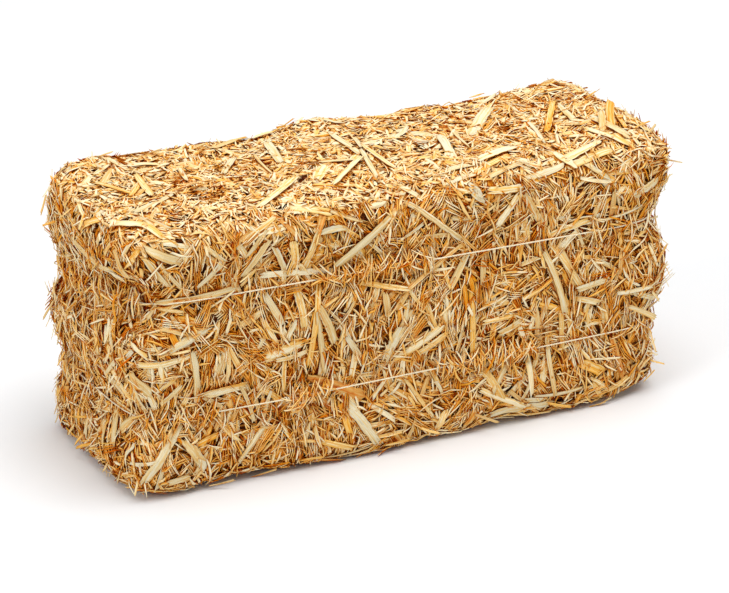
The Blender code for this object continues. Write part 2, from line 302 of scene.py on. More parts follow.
def flake_of(places):
    """The flake that each place belongs to: the one at the least squared distance, once the
    part of it along the flake is multiplied by the stretch, in a chunk of places at a time."""
    found = []
    for start in range(0, len(places), CHUNK):
        away = (places[start : start + CHUNK, None] - flake_at).astype(np.float32)
        straight = (away * away).sum(-1)
        lengthwise = (away * flake_along.astype(np.float32)).sum(-1)
        found.append(np.argmin(straight - (1 - FLAKE_STRETCH**2) * lengthwise**2, -1))
    return np.concatenate(found)


print(FLAKES, "flakes,", round(FLAKES / (block_areas.sum() * 1e4), 2), "to the cm2")

# %% [markdown]
# The block has the waists that the twines pull in, and straw bulges back into them a
# little. Here and there a flake has dropped out or two flakes part, which leaves a dark
# crease. Each groove or crease is a line, and how far it moves the straws in or out fades
# with the distance from that line as a bell curve does. A crease's row gives its two ends,
# then how far it reaches and how deep it is, all in millimetres.

# %% Mark the grooves and creases
LENGTH, DEPTH = 329.0 * MM, 125.5 * MM
LOWER_CORNERS = (46.0 * MM, 44.0 * MM, 43.0 * MM, 42.0 * MM)
UPPER_CORNERS = (113.0 * MM, 106.0 * MM, 95.0 * MM, 107.0 * MM)
GROOVE_FILL, GROOVE_REACH = 0.6 * MM, 5.0 * MM
CREASES = np.array((
    (43, -63, 62, 44, -63, 144, 3.2, 4.0),
    (-46, -63, 55, -47, -63, 96, 2.8, 3.0),
    (-105, -63, 73, -104, -63, 96, 2.6, 2.6),
    (-61, -63, 113, 11, -63, 111, 5.5, 2.6),
    (-163, -28, 115, -159, -50, 112, 9.0, 9.5),
    (140, -55, 140, 152, -50, 132, 4.0, 3.5),
    (20, -63, 18, 30, -63, 34, 3.0, 2.6),
    (-60, 63, 50, -63, 63, 98, 3.2, 3.6),
    (70, 63, 60, 66, 63, 140, 3.0, 3.6),
    (120, 63, 12, 118, 63, 40, 3.0, 3.0),
    (-120, 63, 100, -112, 63, 140, 3.4, 3.2),
    (165, 10, 50, 165, 14, 92, 2.8, 3.0),
    (165, -34, 106, 165, -28, 140, 3.0, 3.0),
    (-165, 6, 50, -165, 10, 88, 2.8, 2.6),
    (-90, 20, 153, -60, 34, 153, 3.4, 1.4),
    (20, -10, 152, 60, -24, 152, 3.2, 1.4),
    (110, 30, 153, 140, 20, 153, 3.2, 1.4),
)) * MM


def level(corners, x, y):
    """A twine's height over a place, blended between its heights at the four corners."""
    front_left, front_right, back_left, back_right = corners
    along = np.clip(x / LENGTH + 0.5, 0, 1)
    back = np.clip(y / DEPTH + 0.5, 0, 1)
    front_height = front_left + (front_right - front_left) * along
    back_height = back_left + (back_right - back_left) * along
    return front_height + (back_height - front_height) * back


def bell(distance, reach):
    """e to the power of minus the square of distance over reach: 1 on the line itself."""
    return np.exp(-((distance / reach) ** 2))


def sunk(places):
    """How much deeper the straws lie at each place: less in a groove, more in a crease."""
    total = np.zeros(places.shape[:-1])
    for corners in (LOWER_CORNERS, UPPER_CORNERS):
        above = places[..., 2] - level(corners, places[..., 0], places[..., 1])
        total -= GROOVE_FILL * bell(above, GROOVE_REACH)
    for crease in CREASES:
        start, run = crease[:3], crease[3:6] - crease[:3]
        share = np.clip((places - start) @ run / (run @ run), 0, 1)
        away = np.linalg.norm(places - start - share[..., None] * run, axis=-1)
        total += crease[7] * bell(away, crease[6])
    return total


print(len(CREASES), "creases, the deepest", CREASES[:, 7].max() / MM, "mm")

# %% [markdown]
# ## One straw, and then all of them
#
# A splinter of straw is a closed sliver: a small profile carried along a bent line. Its line
# starts straight, is bowed sideways like a parabola, and is then moved in or out at each
# station until it lies as deep as it should, so that it follows the block round its edges.
# Every number below is an array with one entry a straw, so one call makes a whole layer.
#
# Straw never breaks off square. It tears along its fibres, so one edge of a blade runs on
# past the other and the end is a row of teeth and notches. The profile is therefore made of
# ribs, and each rib runs between two ends of its own: the places along it are shared out
# evenly between them, which leaves the mesh closed however ragged the ends are.
#
# The map laid over the straws is a sheet of small tiles. A tile's row is a tone, from deep
# orange at the bottom to pale cream at the top, and its column is a variant of that tone.
# A straw picks its tile and fills it almost from edge to edge, so a pattern drawn on the
# sheet runs along the straw, however it lies.

# %% Define the profiles
TILE_MARGIN = 0.06
CAP_SHARE = 0.1
UNDER_INSET = 0.02
UNDER_WIDTH = 0.97
UV_MAP = "OFBake"


def blade_profile(ribs):
    """A flat strip: ribs along its top from left to right, and back along its underside.

    It gives the (across, out) places of the ring, which rib each belongs to, and the quads
    that close an end. Across is a share of the width, and out of the thickness.
    """
    over = np.linspace(-0.5, 0.5, ribs)
    top = np.stack([over, np.full(ribs, 0.5)], -1)
    ring = np.concatenate([top, -top * (UNDER_WIDTH, 1.0)])
    rib = np.concatenate([np.arange(ribs), np.arange(ribs)[::-1]])
    left = np.arange(ribs - 1)
    cap = np.stack([left, left + 1, 2 * ribs - 2 - left, 2 * ribs - 1 - left], -1)
    return ring, rib, cap


SLIVER = (
    np.array(((-0.5, 0.0), (0.0, 1.0), (0.5, 0.0))),
    np.array((0, 1, 2)),
    np.array(((0, 1, 2),)),
)
BLADE = blade_profile(5)
FINE_BLADE = blade_profile(8)
print("rings of", [len(ring) for ring, rib, cap in (SLIVER, BLADE, FINE_BLADE)], "points")

# %% Turn arrays into a piece
def build(name, points, loops, starts, uvs, finish, smooth):
    """A mesh object from arrays: places, the corners of all faces in a row, where each face
    starts in that row, and the map's place of each corner, if it has a map."""
    mesh = bpy.data.meshes.new(name)
    mesh.vertices.add(len(points))
    mesh.vertices.foreach_set("co", points.ravel())
    mesh.loops.add(len(loops))
    mesh.loops.foreach_set("vertex_index", loops)
    mesh.polygons.add(len(starts))
    mesh.polygons.foreach_set("loop_start", starts)
    mesh.update(calc_edges=True)
    if uvs is not None:
        mesh.uv_layers.new(name=UV_MAP).uv.foreach_set("vector", uvs.ravel())
    mesh.polygons.foreach_set("use_smooth", np.full(len(starts), smooth))
    mesh.materials.append(finish)
    made = bpy.data.objects.new(name, mesh)
    bpy.context.scene.collection.objects.link(made)
    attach(made, ROOT)
    return made


def triangles(made):
    """How many triangles a piece has."""
    made.data.calc_loop_triangles()
    return len(made.data.loop_triangles)


def stand_for(piece, slot, *nodes):
    """Hides these solids, which the piece stands in for, and prints its triangles. The slot, the
    solids' finish, is not used.
    """
    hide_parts(*nodes)
    print(piece.name, "for", nodes[0], "with", triangles(piece), "triangles")


def tube_walls(stations, size):
    """The squares between the rings of a tube, one row of them from each ring to the next.
    A ring's points follow the last ring's, so a neighbour along the tube is size further."""
    here = np.arange(size)
    after = (here + 1) % size
    step = np.arange(stations - 1)[:, None] * size
    return np.stack([step + here, step + after, step + size + after, step + size + here], -1)


print("pieces ride on the body", ROOT)

# %% Bend the straws' lines
SETTLING = 3


def spines(straws, stations):
    """Each straw's bent line: its places, and the directions along, across and out there.

    A place is the centre, plus the run along, plus the bow sideways, which is a parabola.
    It is then moved out by how much deeper it lies than wanted, a few times over. The
    middle moves all that way, and the rest of the line moves with it, plus the share
    follow of what it lacks beyond that. Roll and twist turn the two side directions.
    """
    way = np.linspace(-0.5, 0.5, stations)
    run = way * straws["length"][:, None]
    across = np.cross(straws["along"], measure(straws["centre"])[1])
    bow = (straws["bend"] * straws["length"])[:, None] * (4 * way**2 - 1 / 3)
    places = straws["centre"][:, None] + straws["along"][:, None] * run[..., None]
    places = places + across[:, None] * bow[..., None]
    wanted = straws["depth"][:, None] + straws["tilt"][:, None] * run
    wanted = wanted + straws["arch"][:, None] * 4 * way**2
    middle = stations // 2
    for _ in range(SETTLING):
        deep, out = measure(places)
        short = deep - wanted - sunk(places) * straws["yields"][:, None]
        rigid = short[:, middle : middle + 1]
        places = places + out * (rigid + straws["follow"][:, None] * (short - rigid))[..., None]
    along = unit(np.gradient(places, axis=1))
    out = measure(places)[1]
    out = unit(out - (out * along).sum(-1, keepdims=True) * along)
    across = np.cross(along, out)
    turn = (straws["roll"][:, None] + straws["twist"][:, None] * way)[..., None]
    return (
        places,
        along,
        across * np.cos(turn) + out * np.sin(turn),
        out * np.cos(turn) - across * np.sin(turn),
    )


print("a line settles in", SETTLING, "moves")

# %% Carry a profile along the lines
GROUND = 0.1 * MM
WANDER = 0.035
END_THINNING = 0.5


def sweep(name, straws, stations, profile, sheet, finish):
    """Closed straws in one mesh: each carries the profile along its own bent line.

    The width falls towards the ends with a power of the way from the middle, and the whole
    profile is cupped: a rib's height grows with the square of its distance from the middle.
    Each rib runs between two ends of its own, start and stop past the line's, and at each
    station it wanders sideways by a small random share of the width.
    """
    ring, rib, cap = profile
    count, size = len(straws["centre"]), len(ring)
    places, along, across, out = spines(straws, stations)
    way = np.linspace(-1, 1, stations)
    end = straws["taper"][:, (way > 0).astype(int)]
    fall = np.abs(way) ** straws["power"][:, None]
    width = (straws["width"][:, None] * (1 - (1 - end) * fall))[..., None]
    thins = 1 - END_THINNING * (1 - end) * fall
    thick = (straws["thickness"][:, None] * thins)[..., None]
    sides = ring[:, 0] * width
    rises = ring[:, 1] * thick + straws["cup"][:, None, None] * 4 * ring[:, 0] ** 2 * width
    rises = rises + straws["ridges"][:, None, rib] * thick
    share = (way[:, None] + 1) / 2
    cut = straws["start"][:, None, rib] * (1 - share) + straws["stop"][:, None, rib] * share
    wander = np.random.default_rng(count).normal(0, WANDER, (count, stations, rib.max() + 1))
    sides = sides + wander[..., rib] * width
    points = places[:, :, None] + sum(
        direction[:, :, None] * amount[..., None]
        for direction, amount in ((across, sides), (out, rises), (along, cut))
    )
    points[..., 2] = np.maximum(points[..., 2], GROUND)

    walls = tube_walls(stations, size)
    caps = np.concatenate([cap[:, ::-1], cap + (stations - 1) * size])
    shape = np.concatenate([walls.ravel(), caps.ravel()])
    first = np.arange(count)[:, None] * stations * size
    loops = (first + shape).ravel()
    sizes = np.concatenate([np.full(walls.size // 4, 4), np.full(len(caps), caps.shape[1])])
    starts = np.concatenate([[0], np.cumsum(np.tile(sizes, count))[:-1]])

    over = ring[:, 0] + 0.5
    under = np.arange(size) > np.argmax(ring[:, 0])
    over = np.where(under, UNDER_INSET + (1 - 2 * UNDER_INSET) * over, over)
    up = shape // size / (stations - 1)
    in_cap = np.arange(len(shape)) >= walls.size
    on_top_side = (ring[:, 1] > ring[:, 1].mean())[shape % size]
    up = up + in_cap * on_top_side * CAP_SHARE * np.where(up > 0.5, -1, 1)
    within = np.stack([over[shape % size], up], -1)
    tile = np.stack([straws["column"], straws["row"]], -1)[:, None]
    uvs = (tile + TILE_MARGIN + (1 - 2 * TILE_MARGIN) * within) / sheet
    return build(name, points.reshape(-1, 3), loops, starts, uvs, finish, smooth=False)


print("ends thin to", END_THINNING, "of the middle, and straws stop", GROUND / MM, "mm up")

# %% [markdown]
# ## The finish of straw
#
# Dry straw is a waxy skin over fine lengthwise fibres. Up close it is streaked, its cut
# ends are browner, and flecks of leaf and soil sit on it. One straw is pale cream, its
# neighbour orange or greyish, and that difference is as strong as the light's. Four node
# groups hold these effects, so the splinters and the broad blades share them: one reads the
# tile, one draws the fibres, one picks the colour and one browns the ends and darkens the
# torn edges, partly as real browning and partly as painted shade between the straws. How
# shut in a place is by the straws round it is measured in the material itself with ambient
# occlusion, and the colour is painted darker there: this is painted shade.

# %% Write the shader helpers
SOCKET_KINDS = {"Map": "Vector", "Color": "Color"}


def node(tree, kind, inputs=(), **settings):
    """A shader node with these settings. inputs pairs each socket with a number or a link."""
    made = tree.nodes.new("ShaderNode" + kind)
    for name, value in settings.items():
        setattr(made, name, value)
    for socket, value in dict(inputs).items():
        if isinstance(value, bpy.types.NodeSocket):
            tree.links.new(value, made.inputs[socket])
        else:
            made.inputs[socket].default_value = value
    return made


def maths(tree, operation, *values):
    """One operation on numbers or links."""
    return node(tree, "Math", enumerate(values), operation=operation).outputs[0]


def times(tree, first, second):
    """Two numbers or links multiplied."""
    return maths(tree, "MULTIPLY", first, second)


def vector_maths(tree, operation, *values):
    """One operation on vectors, place by place."""
    return node(tree, "VectorMath", enumerate(values), operation=operation).outputs[0]


def remap(tree, value, low, high, to_low, to_high):
    """The value moved from one range to another, and kept inside the new one."""
    sockets = enumerate((value, low, high, to_low, to_high))
    return node(tree, "MapRange", sockets, clamp=True).outputs[0]


def mixed(tree, share, first, second):
    """The first colour, with a share of the second in its place."""
    made = node(tree, "Mix", {0: share, 6: first, 7: second}, data_type="RGBA")
    return made.outputs[2]


def shifted(tree, colour, hue, saturation, value):
    """The colour with its hue turned past 0.5, and its other two parts multiplied."""
    parts = {"Hue": hue, "Saturation": saturation, "Value": value, "Color": colour}
    return node(tree, "HueSaturation", parts).outputs[0]


def ramp(tree, value, stops):
    """A colour for each value, blended between the (value, colour) stops."""
    made = node(tree, "ValToRGB", {0: value})
    band = made.color_ramp.elements
    while len(band) < len(stops):
        band.new(1.0)
    for stop, (at, colour) in zip(band, stops):
        stop.position = at
        stop.color = (*colour, 1)
    return made.outputs[0]


def new_group(name, inputs, outputs):
    """An empty node group with these sockets, and its own input and output sockets. All of
    them carry plain numbers, apart from the map and the colour."""
    group = bpy.data.node_groups.new(name, "ShaderNodeTree")
    for way, labels in (("INPUT", inputs), ("OUTPUT", outputs)):
        for label in labels:
            kind = "NodeSocket" + SOCKET_KINDS.get(label, "Float")
            group.interface.new_socket(label, in_out=way, socket_type=kind)
    inside = group.nodes.new("NodeGroupInput").outputs
    return group, inside, group.nodes.new("NodeGroupOutput").inputs


def joined(tree, sockets, values):
    """Links each of these values to the socket of its name."""
    for label, value in values.items():
        tree.links.new(value, sockets[label])


def placed(tree, group, **inputs):
    """A group placed in a material, with its inputs set or linked by name."""
    return node(tree, "Group", inputs, node_tree=group).outputs


print("sockets of these kinds are not plain numbers:", SOCKET_KINDS)

# %% Read the tile
def straw_tile_group():
    """Reads the sheet: how far across and along its tile a place is, and the tile's own
    tone, counted up the rows, and chance, a random number."""
    tree, given, result = new_group(
        "straw tile", ("Map", "Columns", "Rows"), ("Across", "Along", "Tone", "Chance")
    )
    sheet = node(tree, "CombineXYZ", {0: given["Columns"], 1: given["Rows"]}).outputs[0]
    spread = vector_maths(tree, "MULTIPLY", given["Map"], sheet)
    tile = vector_maths(tree, "FLOOR", spread)
    within = node(tree, "SeparateXYZ", {0: vector_maths(tree, "SUBTRACT", spread, tile)})
    row = node(tree, "SeparateXYZ", {0: tile}).outputs[1]
    last_row = maths(tree, "SUBTRACT", given["Rows"], 1.0)
    joined(tree, result, {
        "Across": within.outputs[0],
        "Along": within.outputs[1],
        "Tone": maths(tree, "DIVIDE", row, last_row),
        "Chance": node(tree, "TexWhiteNoise", {0: tile}, noise_dimensions="3D").outputs[0],
    })
    return tree


tile_group = straw_tile_group()
print(tile_group.name, "in", len(tile_group.nodes), "nodes")

# %% Draw the fibres
OWN_SLICE = 91.0
FLECK_SCALE = (0.8, 1.8, 1.0)


def straw_fibre_group():
    """Fibres and flecks: noise drawn out along the straw, and a coarser one cut off high."""
    tree, given, result = new_group(
        "straw fibres", ("Across", "Along", "Chance", "Fibres", "Stretch"), ("Fibre", "Fleck")
    )
    fine = node(tree, "CombineXYZ", {
        0: times(tree, given["Across"], given["Fibres"]),
        1: times(tree, given["Along"], given["Stretch"]),
        2: times(tree, given["Chance"], OWN_SLICE),
    }).outputs[0]
    fibre = node(tree, "TexNoise", {"Vector": fine, "Scale": 1.0, "Detail": 3.0}).outputs[0]
    coarse = vector_maths(tree, "MULTIPLY", fine, FLECK_SCALE)
    spot = node(tree, "TexNoise", {"Vector": coarse, "Scale": 1.0, "Detail": 2.0}).outputs[0]
    joined(tree, result, {
        "Fibre": remap(tree, fibre, 0.3, 0.7, 0.0, 1.0),
        "Fleck": remap(tree, spot, 0.60, 0.75, 0.0, 0.8),
    })
    return tree


fibre_group = straw_fibre_group()
print(fibre_group.name, "in", len(fibre_group.nodes), "nodes")

# %% Pick the colour
UNSHADED_OPENNESS = 0.80
STRAW_STOPS = (
    (0.00, (0.31, 0.028, 0.0)),
    (0.18, (0.52, 0.086, 0.0)),
    (0.36, (0.73, 0.198, 0.0)),
    (0.55, (0.83, 0.368, 0.025)),
    (0.74, (0.87, 0.530, 0.142)),
    (0.90, (0.885, 0.670, 0.320)),
    (1.00, (0.90, 0.780, 0.520)),
)
DULL = (0.505, 0.87, 0.85)
RUSTY = (0.488, 1.05, 0.90)


def straw_colour_group():
    """The colour of a tone: the fibres move it up and down the ramp, and being shut in by
    other straws moves it down, which is painted shade. Some straws lean to grey and others to
    red. Dark tones take little grey, and pale ones little red."""
    tree, given, result = new_group(
        "straw colour",
        ("Tone", "Fibre", "Chance", "Contrast", "Greys", "Rust", "Open", "Fall"),
        ("Color",),
    )
    swing = times(tree, maths(tree, "SUBTRACT", given["Fibre"], 0.5), given["Contrast"])
    # Painted shade: where the occlusion finds the place shut in, the tone falls down the ramp.
    fall = times(tree, maths(tree, "SUBTRACT", given["Open"], UNSHADED_OPENNESS), given["Fall"])
    tone = maths(tree, "ADD", given["Tone"], maths(tree, "ADD", swing, fall))
    colour = ramp(tree, tone, STRAW_STOPS)
    grey = maths(tree, "ADD", given["Chance"], given["Greys"])
    grey = remap(tree, grey, 1.0, 1.3, 0.0, 1.0)
    grey = times(tree, grey, remap(tree, tone, 0.2, 0.65, 0.1, 1.0))
    red = remap(tree, given["Chance"], 0.35, 0.05, 0.0, 1.0)
    red = times(tree, red, remap(tree, tone, 0.4, 0.9, 1.0, 0.1))
    red = times(tree, red, given["Rust"])
    colour = mixed(tree, grey, colour, shifted(tree, colour, *DULL))
    colour = mixed(tree, red, colour, shifted(tree, colour, *RUSTY))
    joined(tree, result, {"Color": colour})
    return tree


colour_group = straw_colour_group()
print(colour_group.name, "in", len(colour_group.nodes), "nodes")

# %% Brown the ends and paint shade on the edges
BROWNED_AND_SHADED = (0.5, 1.3, 0.36)


def straw_rims_group():
    """Browner towards the cut ends and under the flecks, which is their own colour, and darker
    along the torn edges, partly as real browning and partly as painted shade between the straws.
    """
    tree, given, result = new_group(
        "straw rims", ("Color", "Across", "Along", "Fleck", "Ends", "Edges"), ("Color",)
    )
    from_middle = maths(tree, "ABSOLUTE", maths(tree, "SUBTRACT", given["Along"], 0.5))
    from_spine = maths(tree, "ABSOLUTE", maths(tree, "SUBTRACT", given["Across"], 0.5))
    end = times(tree, remap(tree, from_middle, 0.34, 0.48, 0.0, 1.0), given["Ends"])
    # Partly painted shade: the torn edges darken, as real browning and as the shade between
    # neighbouring straws.
    edge = times(tree, remap(tree, from_spine, 0.36, 0.47, 0.0, 1.0), given["Edges"])
    fleck = times(tree, given["Fleck"], given["Ends"])
    share = maths(tree, "MAXIMUM", maths(tree, "MAXIMUM", end, edge), fleck)
    dark = shifted(tree, given["Color"], *BROWNED_AND_SHADED)
    joined(tree, result, {"Color": mixed(tree, share, given["Color"], dark)})
    return tree


rims_group = straw_rims_group()
print(rims_group.name, "in", len(rims_group.nodes), "nodes")

# %% Mix the finishes of the straws
SHADE_REACH = 2.6 * MM
FIBRE_RISE, FIBRE_FELT = 0.06 * MM, 0.5
SMOOTHEST, ROUGHEST = 0.60, 0.85
STRAW_SHINE = 0.05
SMALL_SHEET = (32, 16)
BROAD_SHEET = (16, 8)


def sheet_finish(name, sheet, fibres, stretch, contrast, ends, edges, greys, rust, fall):
    """A finish read off a sheet of tiles by the straws' own map: the groups joined up to the
    shader, for colour, gloss and fibres that can be felt. Fibres and stretch say how fine
    the noise is across and along a straw, and the rest are the other groups' inputs."""
    made, shader = new_material(name)
    tree = made.node_tree
    laid = node(tree, "UVMap", uv_map=UV_MAP).outputs[0]
    # Painted shade: ambient occlusion over a short reach, passed to the colour group.
    painted_shade_openness = node(tree, "AmbientOcclusion", {"Distance": SHADE_REACH}, samples=6).outputs["AO"]
    tile = placed(tree, tile_group, Map=laid, Columns=sheet[0], Rows=sheet[1])
    across, along, chance = tile["Across"], tile["Along"], tile["Chance"]
    fibre = placed(tree, fibre_group, Across=across, Along=along, Chance=chance,
                   Fibres=fibres, Stretch=stretch)
    colour = placed(tree, colour_group, Tone=tile["Tone"], Fibre=fibre["Fibre"], Chance=chance,
                    Contrast=contrast, Greys=greys, Rust=rust, Open=painted_shade_openness, Fall=fall)
    rims = placed(tree, rims_group, Color=colour["Color"], Across=across, Along=along,
                  Fleck=fibre["Fleck"], Ends=ends, Edges=edges)
    rough = remap(tree, fibre["Fibre"], 0.0, 1.0, SMOOTHEST, ROUGHEST)
    bumps = {"Strength": FIBRE_FELT, "Distance": FIBRE_RISE, "Height": fibre["Fibre"]}
    felt = node(tree, "Bump", bumps).outputs[0]
    joined(tree, shader.inputs, {"Base Color": rims["Color"], "Roughness": rough, "Normal": felt})
    shader.inputs["Specular IOR Level"].default_value = STRAW_SHINE
    return made


# fall sets how strongly the occlusion paints shade into each finish's colour.
small_finish = sheet_finish(
    "chopped straw", SMALL_SHEET, fibres=3.0, stretch=1.2, contrast=0.30,
    ends=0.5, edges=0.5, greys=0.12, rust=1.1, fall=1.15,
)
broad_finish = sheet_finish(
    "split blades", BROAD_SHEET, fibres=6.0, stretch=1.4, contrast=0.50,
    ends=0.4, edges=0.6, greys=0.60, rust=0.6, fall=0.7,
)
print("finishes", small_finish.name, "and", broad_finish.name)

# %% [markdown]
# ## Laying the straws
#
# The bale is laid from the inside out: an underlay and deep straws that show in the gaps,
# then paler layers, wisps that stand off it, and the broad blades. The deep layers are
# painted darker and redder, as painted shade: in the real bale they are lit only by light
# that other straws have coloured. A core painted dark as shade, which no light gets past,
# closes the block at the very end.
#
# Where the chaff cutter has crushed the straw it splits lengthwise, and the strips stay
# together as a bundle. So a straw can be torn into strips: copies side by side, each with
# a share of its width, that part a little towards one end. On top, where the bale was
# beaten level, the straws are short chips that lie every way, and a quarter of the shorter
# ones are perched on the others with one end up. The right of the top was beaten less, so
# its straws are longer.

# %% Say how a layer is laid
STEEPEST, PERCHED_FROM = 38.0, 16.0
PERCHED, PERCHED_UNDER = 0.25, 12 * MM
BEATEN_LESS = 0.8
LONGS, WIDES = (1.4, 2.6), (1.4, 2.2)
ARCH, ARCH_SPREAD = 0.35, 0.4
# Painted light raises the top's tones, more for deeper straws, and painted shade lowers them in
# hollows.
TOP_PAINTED_LIGHT, TOP_DEEP_PAINTED_LIGHT, HOLLOW_PAINTED_SHADE = 0.035, 0.11, 0.05
TOP_CROSSING, TOP_EVENER, TOP_LEAN, TOP_ROLL = 0.5, 0.5, 0.3, 0.6
END_ROUGHER = 0.4


def facing_share(part):
    """0 where the outward direction has up to half of itself along an axis, 1 where it has
    four fifths or more, and evenly in between."""
    return np.clip((part - 0.5) / 0.3, 0, 1)


def skewed(rng, reach, curve, count):
    """Numbers between the two ends of a reach, drawn from a beta curve."""
    low, high = reach
    return low + (high - low) * rng.beta(*curve, count)


def lay(seed, count, length, width, depth, tone, sheet=SMALL_SHEET, ribs=3, thickness=0.45,
        tilt=7.0, spread=18.0, crossing=0.3, bend=0.05, follow=(0.6, 1.0), roll=22.0,
        tone_spread=0.15, chop=0.4, top=1.0, broader=0.5, blunt=(0.2, 1.0),
        power=(4.0, 4.0), cup=0.0, ridges=0.0, slant=0.8, ragged=0.0, twist=0.0):
    """The numbers of one layer's straws, with sizes in millimetres and angles in degrees.

    A straw takes its flake's direction, give or take spread degrees, unless it is one of
    the share that crosses the rest. Its depth is drawn from the layer's range, and its
    flake's own sinking is added. Lengths and widths are drawn from a beta curve, which
    favours the short and the thin. Hollows are painted darker, as painted shade. The top
    makes straws shorter, and paints them paler as painted light, the deeper ones more, to
    lift the shade between them. The ends are rougher, because there the straws were cut through.
    """
    rng = np.random.default_rng(seed)
    centre = scatter(rng, count, top)
    flake = flake_of(centre)
    out = measure(centre)[1]
    lies_up = facing_share(out[:, 2])
    at_end = facing_share(np.abs(out[:, 0]))
    beaten = lies_up * (1 - BEATEN_LESS * np.clip(3 * centre[:, 0] / LENGTH, 0, 1))
    free = turned(out, rng.uniform(0, np.pi, count))
    crosses = rng.random(count) < crossing + TOP_CROSSING * lies_up
    way = np.where(crosses[:, None], free, flake_along[flake])
    way = unit(way - (way * out).sum(-1, keepdims=True) * out)
    lean = np.radians(rng.normal(0, spread, count))[:, None]
    along = way * np.cos(lean) + np.cross(out, way) * np.sin(lean)
    sink = np.maximum(sunk(centre), 0)
    deep = rng.uniform(*depth, count) * (1 + END_ROUGHER * at_end)
    unlike = 1 - TOP_EVENER * lies_up + END_ROUGHER * at_end
    tones = tone + rng.normal(0, tone_spread, count) * unlike
    # Painted light on top, more on the deeper straws, and painted shade in the hollows.
    tones = tones + (TOP_PAINTED_LIGHT + TOP_DEEP_PAINTED_LIGHT * deep) * lies_up
    tones = tones + flake_tone[flake] - HOLLOW_PAINTED_SHADE * sink / MM
    columns, rows = sheet
    long = skewed(rng, length, LONGS, count) * MM
    wide = skewed(rng, width, WIDES, count) * MM * (1 + broader * lies_up)
    over = np.linspace(-0.5, 0.5, ribs)
    teeth = rng.normal(0, 1, (2, count, ribs)) * ragged
    teeth = teeth + rng.normal(0, slant, (2, count, 1)) * over
    leans = rng.normal(0, tilt, count) * (1 + TOP_LEAN * lies_up + at_end)
    perched = rng.random(count) < PERCHED * beaten * (long < PERCHED_UNDER)
    steep = rng.uniform(PERCHED_FROM, STEEPEST, count) * rng.choice((-1, 1), count)
    leans = np.where(perched, steep, leans)
    return {
        "centre": centre,
        "along": along,
        "length": long * (1 - chop * beaten),
        "width": wide,
        "thickness": np.full(count, thickness * MM),
        "depth": deep * MM + flake_sink[flake],
        "tilt": np.tan(np.radians(np.clip(leans, -STEEPEST, STEEPEST))),
        "arch": rng.normal(ARCH, ARCH_SPREAD, count) * MM,
        "bend": rng.normal(0, bend, count),
        "follow": rng.uniform(*follow, count),
        "yields": np.ones(count),
        "roll": np.radians(rng.normal(0, roll, count)) * (1 + TOP_ROLL * lies_up),
        "twist": np.radians(rng.normal(0, 1, count) * twist),
        "taper": rng.uniform(*blunt, (count, 2)),
        "power": rng.uniform(*power, count),
        "cup": rng.normal(0, 1, count) * cup,
        "ridges": rng.normal(0, 1, (count, ribs)) * ridges,
        "start": teeth[0] * wide[:, None],
        "stop": teeth[1] * wide[:, None],
        "column": rng.integers(0, columns, count),
        "row": np.clip(np.round(tones * (rows - 1)), 0, rows - 1),
    }


print("up to", STEEPEST, "degrees steep")

# %% Tear straws into strips
STRIP_PITCH, STRIP_WIDTHS = 1.15, (0.6, 1.1)
STRIP_SLIP, STRIP_LENGTHS = 0.10, (0.45, 1.0)
STRIP_SPLAY = 0.022
STRIP_DEPTHS = 0.2 * MM
STRIP_TONES = 3


def tear(straws, seed, strips):
    """Each straw torn lengthwise into strips, side by side, that part a little.

    A strip is a copy, moved across by its place in the straw times its share of the width,
    and turned by its place times the straw's own splay.
    """
    rng = np.random.default_rng(seed)
    torn = {key: np.repeat(value, strips, axis=0) for key, value in straws.items()}
    count = len(torn["centre"])
    place = np.tile(np.arange(strips) - (strips - 1) / 2, count // strips)
    share = torn["width"] / strips
    across = np.cross(torn["along"], measure(torn["centre"])[1])
    slip = rng.normal(0, STRIP_SLIP, count) * torn["length"]
    torn["centre"] = torn["centre"] + across * (place * share * STRIP_PITCH)[:, None]
    torn["centre"] = torn["centre"] + torn["along"] * slip[:, None]
    lean = place * np.repeat(rng.normal(0, STRIP_SPLAY, count // strips), strips)
    lean = lean + rng.normal(0, STRIP_SPLAY, count)
    torn["along"] = unit(torn["along"] + across * lean[:, None])
    torn["width"] = share * rng.uniform(*STRIP_WIDTHS, count)
    torn["length"] = torn["length"] * rng.uniform(*STRIP_LENGTHS, count)
    torn["depth"] = torn["depth"] + rng.normal(0, STRIP_DEPTHS, count)
    columns, rows = SMALL_SHEET
    torn["column"] = rng.integers(0, columns, count)
    shift = rng.integers(-STRIP_TONES, STRIP_TONES + 1, count)
    torn["row"] = np.clip(torn["row"] + shift, 0, rows - 1)
    return torn


print("strips are", STRIP_WIDTHS, "of their share of the width")

# %% Lay the small straws
# After the seed and the count come the layer's lengths, widths and depths, from least to
# most, and its tone.


def small(name, straws, stations=3):
    """A layer of slivers that stands for the plain block."""
    piece = sweep(name, straws, stations, SLIVER, SMALL_SHEET, small_finish)
    stand_for(piece, "packed_straw", "straw_body")


